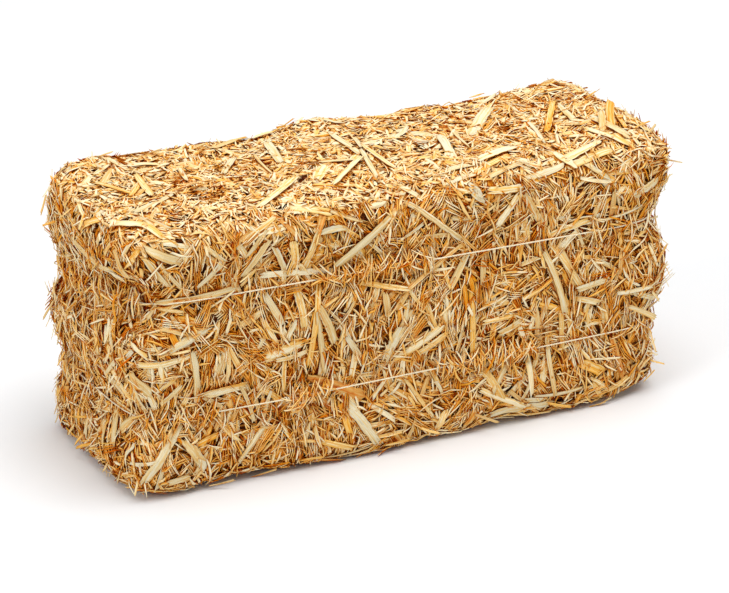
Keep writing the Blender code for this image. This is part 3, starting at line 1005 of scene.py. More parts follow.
# The deeper layers take lower tones, which is painted shade.
small("straw_underlay", lay(
    1, 2300, (14, 34), (1.6, 4.0), (3.0, 5.2), 0.42, chop=0.3, tone_spread=0.08))
small("straw_deep", lay(
    2, 6900, (8, 24), (0.6, 1.8), (1.7, 3.6), 0.50, tone_spread=0.13))
small("straw_bundles_a", tear(lay(
    3, 3400, (9, 28), (2.2, 4.8), (0.6, 2.2), 0.59, spread=12, crossing=0.2,
    thickness=0.38), seed=13, strips=3))
small("straw_bundles_b", tear(lay(
    4, 2900, (9, 30), (2.8, 5.6), (0.0, 1.3), 0.665, spread=12, crossing=0.2,
    thickness=0.38), seed=14, strips=4))
small("straw_chips", lay(
    5, 9300, (5, 17), (0.7, 2.0), (0.0, 1.4), 0.685, top=2.8, tilt=9, crossing=0.5,
    thickness=0.32))
small("straw_splinters", lay(
    6, 5600, (9, 28), (0.7, 2.1), (0.1, 1.4), 0.72, bend=0.08, spread=14,
    tone_spread=0.18, thickness=0.42), stations=4)
small("straw_wisps", lay(
    7, 2300, (5, 16), (0.25, 0.7), (-0.4, 0.5), 0.66, tilt=20, spread=40, crossing=0.5,
    bend=0.14, follow=(0.1, 0.6), thickness=0.25, top=1.8), stations=4)

# %% Lay the broad blades
BROAD_STATIONS = 4
broad = lay(
    8, 1400, (9, 34), (1.8, 4.5), (0.0, 1.3), 0.69, sheet=BROAD_SHEET, ribs=5, thickness=0.3,
    tilt=3, spread=22, crossing=0.4, bend=0.02, roll=10, follow=(0.4, 0.9), chop=0.3, top=1.9,
    blunt=(0.5, 1.0), power=(3.0, 9.0), cup=0.10, ridges=0.35, slant=0.7, ragged=0.16,
    twist=8, tone_spread=0.12, broader=0.0)
blades = sweep("straw_blades", broad, BROAD_STATIONS, BLADE, BROAD_SHEET, broad_finish)
stand_for(blades, "packed_straw", "straw_body")

# %% [markdown]
# ## The blades that stand out
#
# Some broad blades of the real bale catch the eye, and the frame has a plain solid for each.
# Here each gets its own split blade, with more ribs and places along it. Its direction is
# read off the solid: the one in which its points lie furthest apart, which is the first
# vector that a singular value decomposition gives, and the second runs across it.

# %% Lay the marked blades
MARKED_TONES = {"pale_straw": 0.84, "cream_straw": 0.75, "gold_straw": 0.67}
MARKED_SHEET = (8, 16)
MARKED_DEPTHS = (-0.4, 0.2)
MARKED_YIELD = 0.2
MARKED_SEED, MARKED_STATIONS = 20, 18
USUAL_WIDTH = 3.5 * MM
LAID_LAST = 0.7 * MM
BLADE_WAYS = dict(sheet=MARKED_SHEET, tilt=1.5, follow=(0.7, 0.95), cup=0.09, ridges=0.35,
                  slant=0.6)
marked_finish = sheet_finish(
    "marked blades", MARKED_SHEET, fibres=7.0, stretch=1.6, contrast=0.50,
    ends=0.4, edges=0.6, greys=0.62, rust=0.3, fall=0.6,
)


def raised(straws):
    """Blades that were laid last, so on top they lie clear of the chips."""
    lies_up = facing_share(measure(straws["centre"])[1][:, 2])
    straws["depth"] = straws["depth"] - LAID_LAST * lies_up
    return straws


def marked(slot, seed):
    """The numbers of the blades whose solids have this finish, and those solids' names."""
    names = [row["node"] for row in frame["record"]["subparts"] if row["material_slot"] == slot]
    rng = np.random.default_rng(seed)
    straws = lay(seed, len(names), (10, 20), (3, 4), (0, 1), MARKED_TONES[slot], ribs=8,
                 thickness=0.35, tone_spread=0.05, bend=0.015, roll=5, blunt=(0.65, 1.0),
                 power=(4.0, 12.0), ragged=0.22, twist=6, broader=0.0, **BLADE_WAYS)
    for index, name in enumerate(names):
        points = solid_points(name)
        centre = points.mean(0)
        along, across = np.linalg.svd(points - centre, full_matrices=False)[2][:2]
        straws["centre"][index] = centre
        straws["along"][index] = along
        straws["length"][index] = np.ptp(points @ along)
        straws["width"][index] = np.ptp(points @ across)
    wider = (straws["width"] / USUAL_WIDTH)[:, None]
    straws["start"], straws["stop"] = straws["start"] * wider, straws["stop"] * wider
    straws["depth"] = rng.uniform(*MARKED_DEPTHS, len(names)) * MM
    straws["yields"][:] = MARKED_YIELD
    return raised(straws), names


for seed, slot in enumerate(MARKED_TONES, MARKED_SEED):
    straws, names = marked(slot, seed)
    name = slot.replace("straw", "blades")
    piece = sweep(name, straws, MARKED_STATIONS, FINE_BLADE, MARKED_SHEET, marked_finish)
    stand_for(piece, slot, *names)

# %% [markdown]
# More blades than the frame has solids for help to make this bale look like itself, so they
# are listed here. The blades were picked by eye from one real bale, but all rows except three
# of the proud ones were worked out by separate scripts, which aren't part of this one. They
# carried each blade's two ends through the camera onto the block, or for a proud blade to the
# block's distance, shortened the longest settled ones and rounded the result. So this list is
# measured data, not a design that follows from a rule. A row says where a blade starts and
# ends, in millimetres, how wide it is, and its tone in hundredths. Settled blades lie in the
# straw like all the rest. Proud ones stand off it, straight from one end to the other, and
# break up the outline. The back and the right end are made like the front and the left end,
# so they take the settled blades as well, with the list turned half round the upright axis.
# The blades on top turn with them, which fills the far half of the top.

# %% List the blades of the front, the left end and the top
SETTLED = np.array((
    (-153, -55, 104, -147, -57, 113, 2.1, 78),
    (-148, -56, 110, -134, -60, 106, 1.9, 84), (-141, -59, 105, -136, -62, 97, 2.7, 76),
    (-148, -60, 100, -134, -62, 94, 2.4, 74), (-124, -62, 96, -120, -60, 105, 1.9, 82),
    (-110, -61, 90, -107, -61, 98, 1.9, 92), (-102, -61, 92, -89, -62, 98, 3.7, 66),
    (-97, -61, 88, -89, -62, 89, 2.4, 78), (-89, -62, 94, -81, -63, 79, 2.7, 76),
    (-76, -61, 102, -69, -63, 84, 1.6, 74), (-75, -64, 82, -70, -63, 90, 2.7, 84),
    (-114, -61, 97, -118, -62, 81, 2.1, 74), (-162, -55, 93, -156, -61, 85, 2.7, 86),
    (-156, -61, 89, -148, -63, 89, 2.1, 88), (-155, -61, 82, -154, -61, 70, 5.4, 84),
    (-150, -63, 82, -147, -62, 69, 2.7, 86), (-162, -55, 75, -153, -60, 63, 4.8, 70),
    (-150, -60, 60, -143, -63, 80, 4.3, 72), (-155, -60, 64, -149, -56, 50, 3.2, 88),
    (-148, -59, 56, -137, -62, 65, 3.2, 76), (-138, -58, 48, -131, -62, 61, 3.2, 82),
    (-102, -62, 58, -94, -61, 36, 2.1, 76), (-94, -62, 56, -66, -62, 35, 3.2, 72),
    (-116, -60, 41, -104, -62, 26, 3.2, 74), (-126, -60, 40, -119, -61, 29, 1.6, 70),
    (-101, -62, 25, -88, -61, 36, 1.6, 72), (-142, -61, 34, -136, -59, 42, 2.7, 86),
    (-148, -60, 36, -143, -58, 43, 1.6, 86), (-58, -63, 93, -52, -61, 56, 3.7, 74),
    (-56, -62, 98, -42, -62, 82, 1.6, 72), (-32, -62, 99, -42, -62, 84, 1.9, 80),
    (-25, -62, 98, -23, -63, 81, 3.7, 72), (-17, -62, 96, -15, -63, 81, 4.3, 68),
    (-10, -62, 69, -1, -63, 82, 3.2, 76), (-35, -60, 49, -18, -60, 48, 2.7, 86),
    (-22, -60, 47, -8, -62, 60, 2.1, 80), (-9, -61, 52, 7, -63, 68, 3.2, 70),
    (-1, -61, 53, 14, -61, 37, 2.4, 78), (14, -61, 38, 19, -62, 29, 2.1, 80),
    (-24, -61, 35, -14, -60, 44, 2.1, 92), (-19, -62, 35, -8, -60, 42, 1.9, 90),
    (-13, -61, 34, -5, -60, 42, 1.6, 86), (-4, -61, 42, 13, -62, 16, 2.4, 66),
    (-20, -62, 32, -4, -62, 32, 3.2, 74), (15, -61, 7, 21, -62, 18, 3.5, 84),
    (-43, -61, 36, -39, -63, 18, 3.7, 54), (-2, -61, 6, 2, -62, 16, 2.7, 70),
    (-23, -63, 12, -6, -63, 12, 2.1, 84), (36, -62, 86, 38, -60, 47, 3.2, 50),
    (42, -61, 54, 50, -61, 42, 1.6, 74), (47, -62, 35, 55, -61, 39, 1.6, 88),
    (36, -63, 26, 46, -62, 33, 1.3, 86), (53, -62, 57, 68, -63, 63, 3.7, 74),
    (68, -62, 76, 83, -63, 82, 2.1, 72), (75, -63, 73, 78, -61, 51, 2.9, 74),
    (75, -62, 53, 69, -62, 22, 4.0, 82), (80, -62, 54, 76, -62, 32, 3.2, 78),
    (83, -62, 55, 88, -62, 14, 2.7, 76), (68, -61, 13, 75, -62, 28, 1.9, 82),
    (91, -63, 67, 94, -61, 41, 3.2, 66), (95, -63, 72, 99, -60, 48, 2.7, 70),
    (108, -62, 62, 112, -60, 46, 2.7, 78), (118, -62, 63, 121, -60, 45, 3.7, 72),
    (108, -60, 50, 119, -61, 52, 2.7, 82), (105, -62, 30, 119, -62, 22, 5.9, 48),
    (76, -62, 15, 107, -62, 14, 2.4, 82), (56, -59, 5, 87, -60, 3, 2.1, 66),
    (55, -61, 14, 80, -61, 6, 1.9, 70), (44, -61, 38, 57, -61, 16, 4.8, 66),
    (138, -59, 40, 145, -58, 42, 2.1, 92), (112, -62, 19, 126, -61, 9, 2.7, 80),
    (-158, -5, 149, -162, -20, 144, 3.2, 86), (-158, -30, 148, -143, -56, 148, 4.5, 84),
    (-145, -59, 147, -130, -62, 143, 2.4, 92), (-154, -58, 144, -132, -63, 134, 4.8, 74),
    (-127, -63, 136, -116, -63, 140, 3.2, 78), (-164, -49, 136, -158, -51, 148, 2.7, 82),
    (-164, -25, 131, -163, -38, 144, 4.3, 52), (-162, -53, 134, -158, -57, 144, 3.2, 50),
    (-156, -59, 141, -140, -59, 119, 3.2, 76), (-149, -62, 138, -134, -60, 118, 2.4, 74),
    (-163, 21, 124, -160, -27, 119, 2.9, 78), (-164, 36, 134, -163, 2, 123, 2.1, 76),
    (-164, 24, 142, -164, 8, 130, 2.1, 72), (-40, -25, 152, -21, -6, 153, 7.0, 90),
    (-68, -52, 151, -48, -60, 147, 4.9, 80), (-50, -61, 144, -40, -61, 144, 2.7, 66),
    (-86, -61, 143, -74, -61, 144, 3.5, 97), (-104, -61, 144, -79, -59, 147, 3.5, 58),
    (-55, -63, 138, -40, -63, 138, 3.7, 84), (-28, -60, 145, -12, -57, 146, 3.2, 97),
    (8, 35, 153, 1, 1, 153, 2.7, 84), (-29, -7, 153, -7, -14, 153, 2.8, 72),
    (3, 6, 153, 5, -29, 151, 3.7, 84), (-9, -40, 151, 10, -56, 142, 2.7, 90),
    (-25, -62, 125, -11, -60, 111, 2.1, 80), (-23, -62, 125, -15, -61, 128, 2.4, 88),
    (-5, -60, 109, -3, -60, 128, 2.7, 78), (-105, -62, 142, -98, -62, 131, 3.7, 80),
    (-58, -63, 141, -55, -62, 128, 3.2, 80), (-4, -60, 124, 8, -60, 130, 1.9, 80),
    (47, -3, 153, 40, -35, 152, 4.8, 86), (44, -52, 150, 71, -38, 151, 4.2, 70),
    (48, -57, 149, 75, -48, 150, 3.5, 76), (28, -46, 151, 43, -46, 152, 4.2, 95),
    (105, -32, 153, 120, -35, 153, 4.2, 94), (107, 29, 152, 102, -3, 153, 2.7, 84),
    (103, -2, 153, 96, -33, 152, 2.7, 86), (128, 9, 153, 125, -20, 154, 3.7, 80),
    (94, -47, 150, 102, -57, 145, 3.7, 95), (100, -56, 146, 126, -55, 150, 4.3, 84),
    (124, -28, 154, 135, -55, 150, 3.7, 86), (103, -60, 139, 125, -63, 134, 2.1, 95),
    (107, -57, 147, 120, -63, 137, 2.7, 82), (70, -58, 144, 97, -54, 146, 3.7, 92),
    (132, -33, 154, 147, -16, 157, 4.3, 72), (23, -53, 147, 41, -53, 150, 3.1, 82),
    (55, -21, 152, 58, 8, 152, 1.6, 80), (79, -60, 107, 92, -63, 70, 3.7, 78),
    (91, -61, 99, 101, -63, 78, 4.8, 76), (70, -63, 75, 85, -63, 84, 2.1, 74),
    (126, -62, 119, 143, -60, 112, 1.6, 72), (104, -61, 100, 113, -62, 95, 1.6, 80),
    (99, -61, 114, 106, -61, 99, 2.1, 76), (130, -60, 101, 146, -57, 103, 1.6, 74),
    (117, -62, 88, 128, -62, 80, 2.7, 84), (124, -62, 65, 149, -62, 67, 2.7, 82),
    (9, -60, 122, 23, -60, 121, 2.7, 54), (-3, -63, 95, 8, -63, 80, 2.1, 78),
    (29, -61, 120, 41, -60, 107, 1.6, 62), (43, -61, 87, 46, -59, 108, 3.7, 68),
    (-7, -61, 103, 6, -61, 104, 2.1, 80), (-36, -62, 98, -41, -63, 89, 1.6, 84),
    (-164, -29, 83, -162, -29, 96, 3.7, 97), (-164, -38, 88, -161, -33, 98, 3.7, 48),
    (-165, -17, 72, -161, -7, 98, 3.2, 76), (-159, 17, 46, -163, -1, 87, 3.2, 74),
    (-164, -23, 67, -160, -38, 55, 4.3, 84), (-165, -12, 72, -162, -25, 56, 2.7, 78),
    (-163, -54, 71, -152, -53, 45, 3.2, 84), (-158, -19, 46, -156, -46, 45, 3.2, 76),
    (-158, -32, 44, -162, -3, 34, 2.7, 72), (-164, -32, 24, -158, -27, 45, 5.4, 72),
    (-161, -38, 35, -154, -47, 46, 5.4, 72), (-145, -61, 10, -133, -61, 12, 3.7, 76),
    (-162, -54, 89, -164, -27, 65, 2.7, 74), (-155, -51, 107, -158, -43, 117, 1.6, 80),
    (-157, -37, 106, -160, -51, 98, 2.1, 70), (-164, 9, 9, -163, 1, 28, 3.2, 74),
    (-163, -16, 94, -158, -36, 103, 1.9, 88), (-164, 28, 78, -165, 13, 71, 3.2, 80),
    (-165, -18, 16, -162, -19, 33, 3.2, 60), (-131, -61, 28, -123, -61, 13, 4.8, 88),
    (-76, -60, 108, -75, -60, 118, 2.1, 74), (-82, -62, 134, -74, -60, 116, 3.2, 76),
    (-90, -62, 127, -82, -60, 120, 2.1, 74),
))
PROUD = np.array((
    (-149, -58, 112.5, -106, -63, 114.5, 3.4, 74),
    (135, -62, 58, 148, -71, 52, 3.2, 76), (154, -56, 19, 161, -60, 17, 0.9, 66),
    (152, -57, 39, 153, -63, 27, 1.1, 84), (153, -61, 81, 160, -60, 90, 1.3, 52),
    (152, -62, 70, 160, -61, 80, 1.4, 80), (147, -62, 66, 155, -63, 72, 1.1, 80),
    (153, -56, 112, 161, -54, 125, 1.0, 88), (-171, 39, 126, -164, 37, 128, 1.1, 36),
    (-169, 29, 60, -165, 32, 71, 0.9, 84), (-168, 38, 15, -162, 41, 27, 1.0, 80),
    (-169, 35, 11, -164, 36, 20, 1.0, 74), (141, 27, 153, 152, 22, 154, 0.8, 30),
    (146, 12, 154, 154, 10, 159, 2.7, 62), (122, -61, 2, 113, -59, 0, 1.1, 82),
    (126, -61, 4, 118, -59, 0, 1.1, 82), (-34, 46, 152, -26, 45, 156, 1.1, 28),
    (-25, 48, 154, -18, 46, 159, 1.1, 34), (-163, 49, 82, -154, 52, 98, 4.8, 86),
    (-171, 43, 70, -164, 44, 79, 1.6, 78), (-171, 24, 50, -166, 25, 57, 1.3, 66),
    (-163, 47, 142, -158, 47, 149, 1.6, 62), (-159, 47, 150, -153, 47, 156, 1.6, 70),
    (-171, 41, 132, -167, 43, 141, 1.2, 66), (137, -35, 155, 146, -17, 163, 4.8, 60),
    (131, -36, 154, 138, -22, 160, 4.3, 72), (124, 34, 152, 130, 34, 159, 1.6, 56),
    (137, 45, 153, 145, 42, 155, 1.6, 60), (148, 46, 153, 152, 41, 148, 1.3, 50),
    (148, -42, 155, 156, -44, 158, 1.3, 66), (152, -49, 153, 157, -49, 158, 1.3, 60),
    (4, 45, 154, 12, 42, 156, 1.3, 64), (30, 40, 151, 38, 38, 155, 1.3, 56),
    (50, 46, 151, 59, 43, 154, 1.6, 60), (91, 43, 154, 97, 41, 156, 1.6, 62),
    (-104, 48, 153, -98, 46, 155, 1.6, 70), (-133, 49, 156, -126, 47, 158, 1.6, 72),
    (-80, 45, 152, -73, 43, 155, 1.6, 70), (-55, 47, 152, -48, 44, 154, 1.6, 66),
    (153, -64, 59, 150, -61, 64, 1.6, 70), (149, -58, 8, 155, -59, 14, 1.1, 60),
    (-167, -44, 8, -164, -42, 14, 1.6, 72), (-161, -44, 4, -158, -42, 10, 1.4, 66),
    (-168, -28, 8, -165, -28, 13, 1.4, 72), (-169, 8, 9, -164, 8, 14, 1.6, 74),
    (-168, 20, 10, -164, 20, 15, 1.6, 70), (39, -62, 12, 50, -70, 8, 1.6, 60),
    (85, -62, 9, 96, -68, 7, 1.6, 62), (5, -62, 11, 14, -68, 8, 1.6, 70),
    (-17, -62, 5, -4, -67, 8, 1.6, 62), (-67, -60, 6, -56, -65, 8, 1.6, 60),
    (-120, -59, 2, -108, -64, 5, 1.6, 64), (-94, -55, 0, -81, -60, 4, 1.6, 60),
))

# %% Lay the listed blades
LISTED_YIELD = 0.5
DARKEST, TONE_OFFSET, TONE_SPREAD = 0.6, -0.02, 0.03


def listed(table, seed, proud):
    """The numbers of the blades in one of the lists. Each runs straight from its first
    place to its last, and a proud one keeps to that line."""
    rng = np.random.default_rng(seed)
    straws = lay(seed, len(table), (10, 20), (3, 4), (-0.3, 0.6), 0.5, ribs=5, thickness=0.3,
                 bend=0.03, roll=6, blunt=(0.45, 1.0), power=(2.0, 9.0), ragged=0.2, twist=8,
                 **BLADE_WAYS)
    first, last = table[:, 0:3] * MM, table[:, 3:6] * MM
    straws["centre"] = (first + last) / 2
    straws["length"] = np.linalg.norm(last - first, axis=-1)
    straws["along"] = unit(last - first)
    straws["width"] = table[:, 6] * MM
    straws["yields"][:] = LISTED_YIELD
    tones = np.maximum(table[:, 7] / 100, DARKEST) + TONE_OFFSET
    tones = tones + rng.normal(0, TONE_SPREAD, len(table))
    top_row = MARKED_SHEET[1] - 1
    straws["row"] = np.clip(np.round(tones * top_row), 0, top_row)
    narrow = np.minimum(straws["width"] / USUAL_WIDTH, 1)[:, None]
    straws["start"], straws["stop"] = straws["start"] * narrow, straws["stop"] * narrow
    if not proud:
        return raised(straws)
    straws["depth"] = measure(straws["centre"])[0]
    for key in ("arch", "tilt", "follow", "yields"):
        straws[key] = np.zeros(len(table))
    return straws


HALF_TURN = np.array((-1, -1, 1, -1, -1, 1, 1, 1))
for name, table, seed, proud, stations in (
    ("blades_settled", SETTLED, 31, False, 10),
    ("blades_proud", PROUD, 32, True, 10),
    ("blades_behind", SETTLED * HALF_TURN, 33, False, 6),
):
    straws = listed(table, seed, proud)
    piece = sweep(name, straws, stations, BLADE, MARKED_SHEET, marked_finish)
    stand_for(piece, "packed_straw", "straw_body")

# %% [markdown]
# ## The twines
#
# Each twine is a thin string of two plies twisted together, pulled so tight that it runs
# straight from one high place of the straw to the next. Seen end on, two plies side by side
# have a waist between them, so the radius swings with twice the angle, and the twist turns
# that waist steadily along the string. The knot is plain: each end turns round the other's
# string and sticks out as a short tail.

# %% Find the twines' ways
TWINE_RADIUS = 0.48 * MM
TWINE_GAP = 0.7 * MM
TWINE_RAYS = 720
TWINE_STEP = 1.0 * MM
KNOT_TURN = 2 * TWINE_RADIUS + 0.25 * MM
KNOT_CORE, KNOT_PITCH, KNOT_LIFT, KNOT_REACH = 1.0 * MM, 1.2 * MM, 1.1 * MM, 9.0 * MM
KNOT_TURNS, KNOT_STEPS = 1.5, 8
TAIL_LENGTH, TAIL_ALONG, TAIL_OUT, TAIL_DROOP = 6.0 * MM, 0.6, 0.5, 0.35
LOWER_KNOT, UPPER_KNOT = -74.0 * MM, 38.0 * MM
FRONT = np.array((0.0, -1.0, 0.0))


def taut_loop(corners):
    """The closed way of a string pulled tight round the block: level rays find the block's
    outline, the string touches only the outline's convex hull, and its middle runs its own
    radius and a small gap outside."""
    turns = 2 * np.pi * np.arange(TWINE_RAYS) / TWINE_RAYS
    aims = np.stack([np.cos(turns), np.sin(turns)], -1)
    edge = aims / np.maximum(np.abs(aims[:, :1]) / LENGTH, np.abs(aims[:, 1:]) / DEPTH) / 2
    heights = level(corners, edge[:, 0], edge[:, 1])
    rays = [((x * LENGTH, y * LENGTH, z), (-x, -y, 0)) for (x, y), z in zip(aims, heights)]
    outline = [block.ray_cast(Vector(start), Vector(way))[0].xy for start, way in rays]
    hull = np.array(outline)[convex_hull_2d(outline)]
    ahead = unit(unit(hull - np.roll(hull, 1, 0)) + unit(np.roll(hull, -1, 0) - hull))
    clear = hull + np.stack([ahead[:, 1], -ahead[:, 0]], -1) * (TWINE_RADIUS + TWINE_GAP)
    return np.column_stack([clear, level(corners, clear[:, 0], clear[:, 1])])


def knot_end(at, along, outward, side):
    """One end of a twine, from where it enters the knot to the tip of its tail: a helix
    round the other end, then two straight halves of a tail, the second one drooping."""
    turn = side + 2 * np.pi * np.arange(KNOT_TURNS * KNOT_STEPS + 1)[:, None] / KNOT_STEPS
    ahead = KNOT_CORE + KNOT_PITCH * (turn - side) / (2 * np.pi)
    ring = outward * np.cos(turn) + np.cross(along, outward) * np.sin(turn)
    coil = at + along * ahead + ring * KNOT_TURN
    leave = unit(coil[-1] - coil[-2])
    away = unit(leave + along * TAIL_ALONG + outward * TAIL_OUT)
    droop = unit(away - outward * TAIL_DROOP)
    tail = coil[-1] + away * TAIL_LENGTH / 2
    return np.vstack([at - along * KNOT_CORE, coil, tail, tail + droop * TAIL_LENGTH / 2])


def tied_route(corners, knot_x, outward):
    """The loop opened at its knot and read off every TWINE_STEP, from tail tip to tail tip."""
    loop = taut_loop(corners)
    after = np.roll(loop, -1, 0)
    crossing = (loop @ outward > 0) & ((loop[:, 0] - knot_x) * (after[:, 0] - knot_x) <= 0)
    first = int(np.argmax(crossing))
    share = (knot_x - loop[first, 0]) / (after[first, 0] - loop[first, 0])
    at = loop[first] + share * (after[first] - loop[first])
    along = unit(after[first] - loop[first])
    middle = at + outward * KNOT_LIFT
    round_way = np.roll(loop, -first - 1, 0)
    round_way = round_way[np.linalg.norm(round_way - at, axis=-1) > KNOT_REACH]
    route = np.vstack([
        knot_end(middle, -along, outward, 0.0)[::-1],
        round_way,
        knot_end(middle, along, outward, np.pi),
    ])
    gone = np.insert(np.cumsum(np.linalg.norm(np.diff(route, axis=0), axis=-1)), 0, 0)
    at = np.linspace(0, gone[-1], int(gone[-1] / TWINE_STEP))
    return np.stack([np.interp(at, gone, route[:, axis]) for axis in range(3)], -1)


lower_route = tied_route(LOWER_CORNERS, LOWER_KNOT, FRONT)
upper_route = tied_route(UPPER_CORNERS, UPPER_KNOT, -FRONT)
print("twines", len(lower_route), "and", len(upper_route), "mm long")

# %% Mix the finish of the twines
TWIST_PITCH = 3.0 * MM
TWINE_REPEAT = 30
STRING_DULL, STRING_PALE = (0.84, 0.72, 0.48, 1), (0.96, 0.88, 0.67, 1)
# Painted shade for the groove between the two plies.
WAIST_SHADE, WAIST_SHADE_SHARE = (0.45, 0.32, 0.15, 1), 0.35
WOUND_ROUND, WOUND_ALONG = 2.2, 2.5
STRING_RISE, STRING_FELT = 0.05 * MM, 0.6


def string_finish():
    """Off-white fibres wound round both plies, painted darker in the groove between them as
    painted shade. The noise is read on a ring in four dimensions, so it meets itself where the
    map repeats."""
    made, shader = new_material("twine")
    tree = made.node_tree
    laid = node(tree, "SeparateXYZ", {0: node(tree, "UVMap", uv_map=UV_MAP).outputs[0]})
    around = times(tree, laid.outputs[0], 2 * np.pi)
    along = times(tree, laid.outputs[1], 2 * np.pi)
    repeat = TWINE_REPEAT * TWINE_STEP / TWIST_PITCH
    phase = maths(tree, "SUBTRACT", around, times(tree, along, repeat))
    swing = maths(tree, "COSINE", times(tree, phase, 2.0))
    waist = remap(tree, swing, -1, 0.4, 1, 0)
    wound = maths(tree, "ADD", phase, times(tree, along, 3 * repeat))
    place = node(tree, "CombineXYZ", {
        0: times(tree, maths(tree, "COSINE", wound), WOUND_ROUND),
        1: times(tree, maths(tree, "SINE", wound), WOUND_ROUND),
        2: times(tree, maths(tree, "COSINE", along), WOUND_ALONG),
    }).outputs[0]
    noise = {"Vector": place, "W": maths(tree, "SINE", along), "Scale": 1.6, "Detail": 4.0}
    fibre = node(tree, "TexNoise", noise, noise_dimensions="4D").outputs[0]
    fibre = remap(tree, fibre, 0.35, 0.65, 0.0, 1.0)
    colour = mixed(tree, fibre, STRING_DULL, STRING_PALE)
    # Painted shade in the groove between the two plies.
    colour = mixed(tree, times(tree, waist, WAIST_SHADE_SHARE), colour, WAIST_SHADE)
    rough = remap(tree, fibre, 0.0, 1.0, 0.9, 0.7)
    bumps = {"Strength": STRING_FELT, "Distance": STRING_RISE, "Height": fibre}
    felt = node(tree, "Bump", bumps).outputs[0]
    joined(tree, shader.inputs, {"Base Color": colour, "Roughness": rough, "Normal": felt})
    return made


string = string_finish()
print(string.name, "finish, repeated every", TWINE_REPEAT, "steps")

# %% Twist the twines
TWINE_RING = 10
BITE = np.array((-157.0, -52.0, 112.0)) * MM
BITE_REACH, BITE_DEPTH = 12.0 * MM, 4.5 * MM
WAIST = 0.2


def twine(name, route, node_name):
    """The twisted string along this way: a closed tube whose waisted section turns.

    Its radius is 1 - WAIST + WAIST times the cosine of twice the angle round it, counted
    from a direction that turns once every TWIST_PITCH. It sinks where the straw gives way.
    """
    count, ring = len(route), TWINE_RING
    bitten = bell(np.linalg.norm(route - BITE, axis=-1), BITE_REACH)[:, None]
    route = route - measure(route)[1] * bitten * BITE_DEPTH
    along = unit(np.gradient(route, axis=0))
    out = measure(route)[1]
    out = unit(out - (out * along).sum(-1, keepdims=True) * along)
    across = np.cross(along, out)
    turn = 2 * np.pi * np.arange(ring) / ring
    lay_angle = 2 * np.pi * np.arange(count)[:, None] * TWINE_STEP / TWIST_PITCH
    radius = TWINE_RADIUS * (1 - WAIST + WAIST * np.cos(2 * (turn - lay_angle)))
    points = (
        route[:, None]
        + out[:, None] * (np.cos(turn) * radius)[..., None]
        + across[:, None] * (np.sin(turn) * radius)[..., None]
    )
    here, station = np.arange(ring), np.arange(count - 1)[:, None]
    walls = tube_walls(count, ring)
    loops = np.concatenate([walls.ravel(), here[::-1], here + (count - 1) * ring])
    starts = np.append(np.arange(walls.size // 4) * 4, (walls.size, walls.size + ring))
    left = np.broadcast_to(here / ring, walls.shape[:2])
    low = np.broadcast_to(station % TWINE_REPEAT / TWINE_REPEAT, walls.shape[:2])
    right, high = left + 1 / ring, low + 1 / TWINE_REPEAT
    wall_uvs = np.stack([left, low, right, low, right, high, left, high], -1).reshape(-1, 2)
    cap_uvs = np.tile(np.stack([here / ring, here * 0], -1), (2, 1))
    piece = build(name, points.reshape(-1, 3), loops, starts,
                  np.concatenate([wall_uvs, cap_uvs]), string, smooth=True)
    stand_for(piece, "twine", node_name)


twine("lower_string", lower_route, "twine_lower")
twine("upper_string", upper_route, "twine_upper")

# %% [markdown]
# In places loose straw has worked its way over the twines and hides them. These straws
# lie across the string, just outside it, and dive back into the heap at both ends. A row
# gives the string, the side (-1 is the front), from where to where along X in millimetres,
# how many straws, and their tone.

# %% Lay straws over the twines
COVER_FROM, COVER_TO = 0.15 * MM, 0.9 * MM
COVER_SCATTER, COVER_LEAN = 1.5 * MM, 38
COVER_ARCH = (1.6, 3.2)
COVER_SEED, PLACE_SEED = 40, 60
COVERED = (
    (upper_route, -1, -54, 10, 150, 0.66),
    (upper_route, -1, -170, -156, 45, 0.60),
    (upper_route, 1, -170, -150, 80, 0.62),
    (lower_route, 1, -170, -156, 40, 0.66),
    (upper_route, -1, 108, 170, 60, 0.66),
    (lower_route, -1, -73, -50, 60, 0.66),
    (lower_route, -1, 15, 76, 130, 0.66),
    (lower_route, -1, 131, 170, 60, 0.66),
    (lower_route, -1, -155, -116, 80, 0.66),
    (upper_route, 1, -130, -70, 110, 0.66),
    (upper_route, 1, 80, 120, 70, 0.66),
    (lower_route, 1, -40, 30, 130, 0.66),
    (lower_route, 1, 100, 150, 70, 0.66),
)
covering = []
for index, (route, side, low, high, count, tone) in enumerate(COVERED):
    seed = COVER_SEED + index
    straws = lay(seed, count, (8, 22), (0.5, 1.4), (0, 0), tone, top=0, bend=0.08)
    rng = np.random.default_rng(PLACE_SEED + index)
    within = (route[:, 0] > low * MM) & (route[:, 0] < high * MM)
    here = route[within & (route[:, 1] * side > 0)]
    places = here[rng.integers(0, len(here), count)]
    places = places + rng.normal(0, COVER_SCATTER, (count, 3)) * (1, 0, 1)
    over, out = measure(places)
    straws["centre"] = places
    straws["along"] = turned(out, np.radians(90 + rng.normal(0, COVER_LEAN, count)))
    straws["depth"] = over - TWINE_RADIUS - rng.uniform(COVER_FROM, COVER_TO, count)
    straws["arch"] = rng.uniform(*COVER_ARCH, count) * MM
    straws["yields"] = np.zeros(count)
    straws["tilt"] = straws["tilt"] * 0.5
    covering.append(straws)
covering = {key: np.concatenate([straws[key] for straws in covering]) for key in covering[0]}
small("straw_covering", covering, stations=5)

# %% [markdown]
# ## The core
#
# Between the deepest straws one would see right through the bale. A real one is filled to
# the middle, so a closed lump, upright streaks and all, stands for that filling. It is
# painted dark orange brown, which is painted shade, as little light gets so deep. It is a
# box of small squares, pushed in or out until it lies evenly deep.

# %% Mix the finish of the core
CORE_STREAKS = (160.0, 160.0, 40.0)
# The core's two colours are painted shade.
CORE_DARK, CORE_LIGHT = (0.12, 0.018, 0.0004, 1), (0.42, 0.10, 0.003, 1)


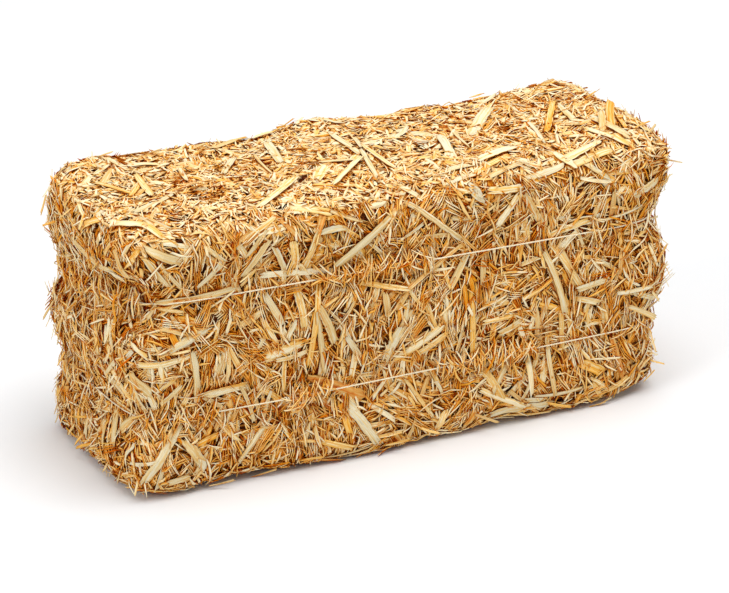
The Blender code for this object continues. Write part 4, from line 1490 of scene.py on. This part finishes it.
def core_finish():
    """Painted shade: deep orange brown in upright streaks, from noise on places drawn out along
    Z.
    """
    made, shader = new_material("painted shade core")
    tree = made.node_tree
    place = node(tree, "TexCoord").outputs["Object"]
    place = vector_maths(tree, "MULTIPLY", place, CORE_STREAKS)
    noise = node(tree, "TexNoise", {"Vector": place, "Scale": 6.0, "Detail": 4.0}).outputs[0]
    share = remap(tree, noise, 0.35, 0.65, 0.0, 1.0)
    joined(tree, shader.inputs, {"Base Color": mixed(tree, share, CORE_DARK, CORE_LIGHT)})
    shader.inputs["Roughness"].default_value = 0.9
    return made


core_shade = core_finish()
print("finish", core_shade.name)

# %% Close the block with a dark core
CORE_CELLS = (56, 22, 26)
CORE_DEPTH, CORE_GROUND = 5.0 * MM, 1.0 * MM
CORE_MOVES = 6


def box_shell(counts):
    """The outside of a grid of little boxes, as places between 0 and 1 and square faces.

    Along each axis the first and the last sheet of the grid are taken, and four neighbours
    in a sheet make a face. Places are numbered by their grid position, so that faces meet
    at the edges, and the numbers that no face uses are left out.
    """
    faces = []
    size = np.array(counts) + 1
    numbers = np.arange(size.prod()).reshape(size)
    for axis in range(3):
        sheets = np.moveaxis(numbers, axis, 0)
        for sheet, flip in ((sheets[0], axis != 1), (sheets[-1], axis == 1)):
            quads = np.stack([sheet[:-1, :-1], sheet[1:, :-1], sheet[1:, 1:], sheet[:-1, 1:]], -1)
            quads = quads.reshape(-1, 4)
            faces.append(quads[:, ::-1] if flip else quads)
    faces = np.concatenate(faces)
    used, faces = np.unique(faces, return_inverse=True)
    places = np.stack(np.unravel_index(used, numbers.shape), -1) / np.array(counts)
    return places, faces.reshape(-1, 4)


shares, quads = box_shell(CORE_CELLS)
core_points = block_low + shares * (block_high - block_low)
for _ in range(CORE_MOVES):
    deep, out = measure(core_points)
    wanted = CORE_DEPTH + np.maximum(sunk(core_points), 0)
    core_points = core_points + out * (deep - wanted)[:, None]
core_points[:, 2] = np.maximum(core_points[:, 2], CORE_GROUND)
quad_starts = np.arange(len(quads)) * 4
core = build("straw_core", core_points, quads.ravel(), quad_starts, None, core_shade,
             smooth=True)
stand_for(core, "packed_straw", "straw_body")
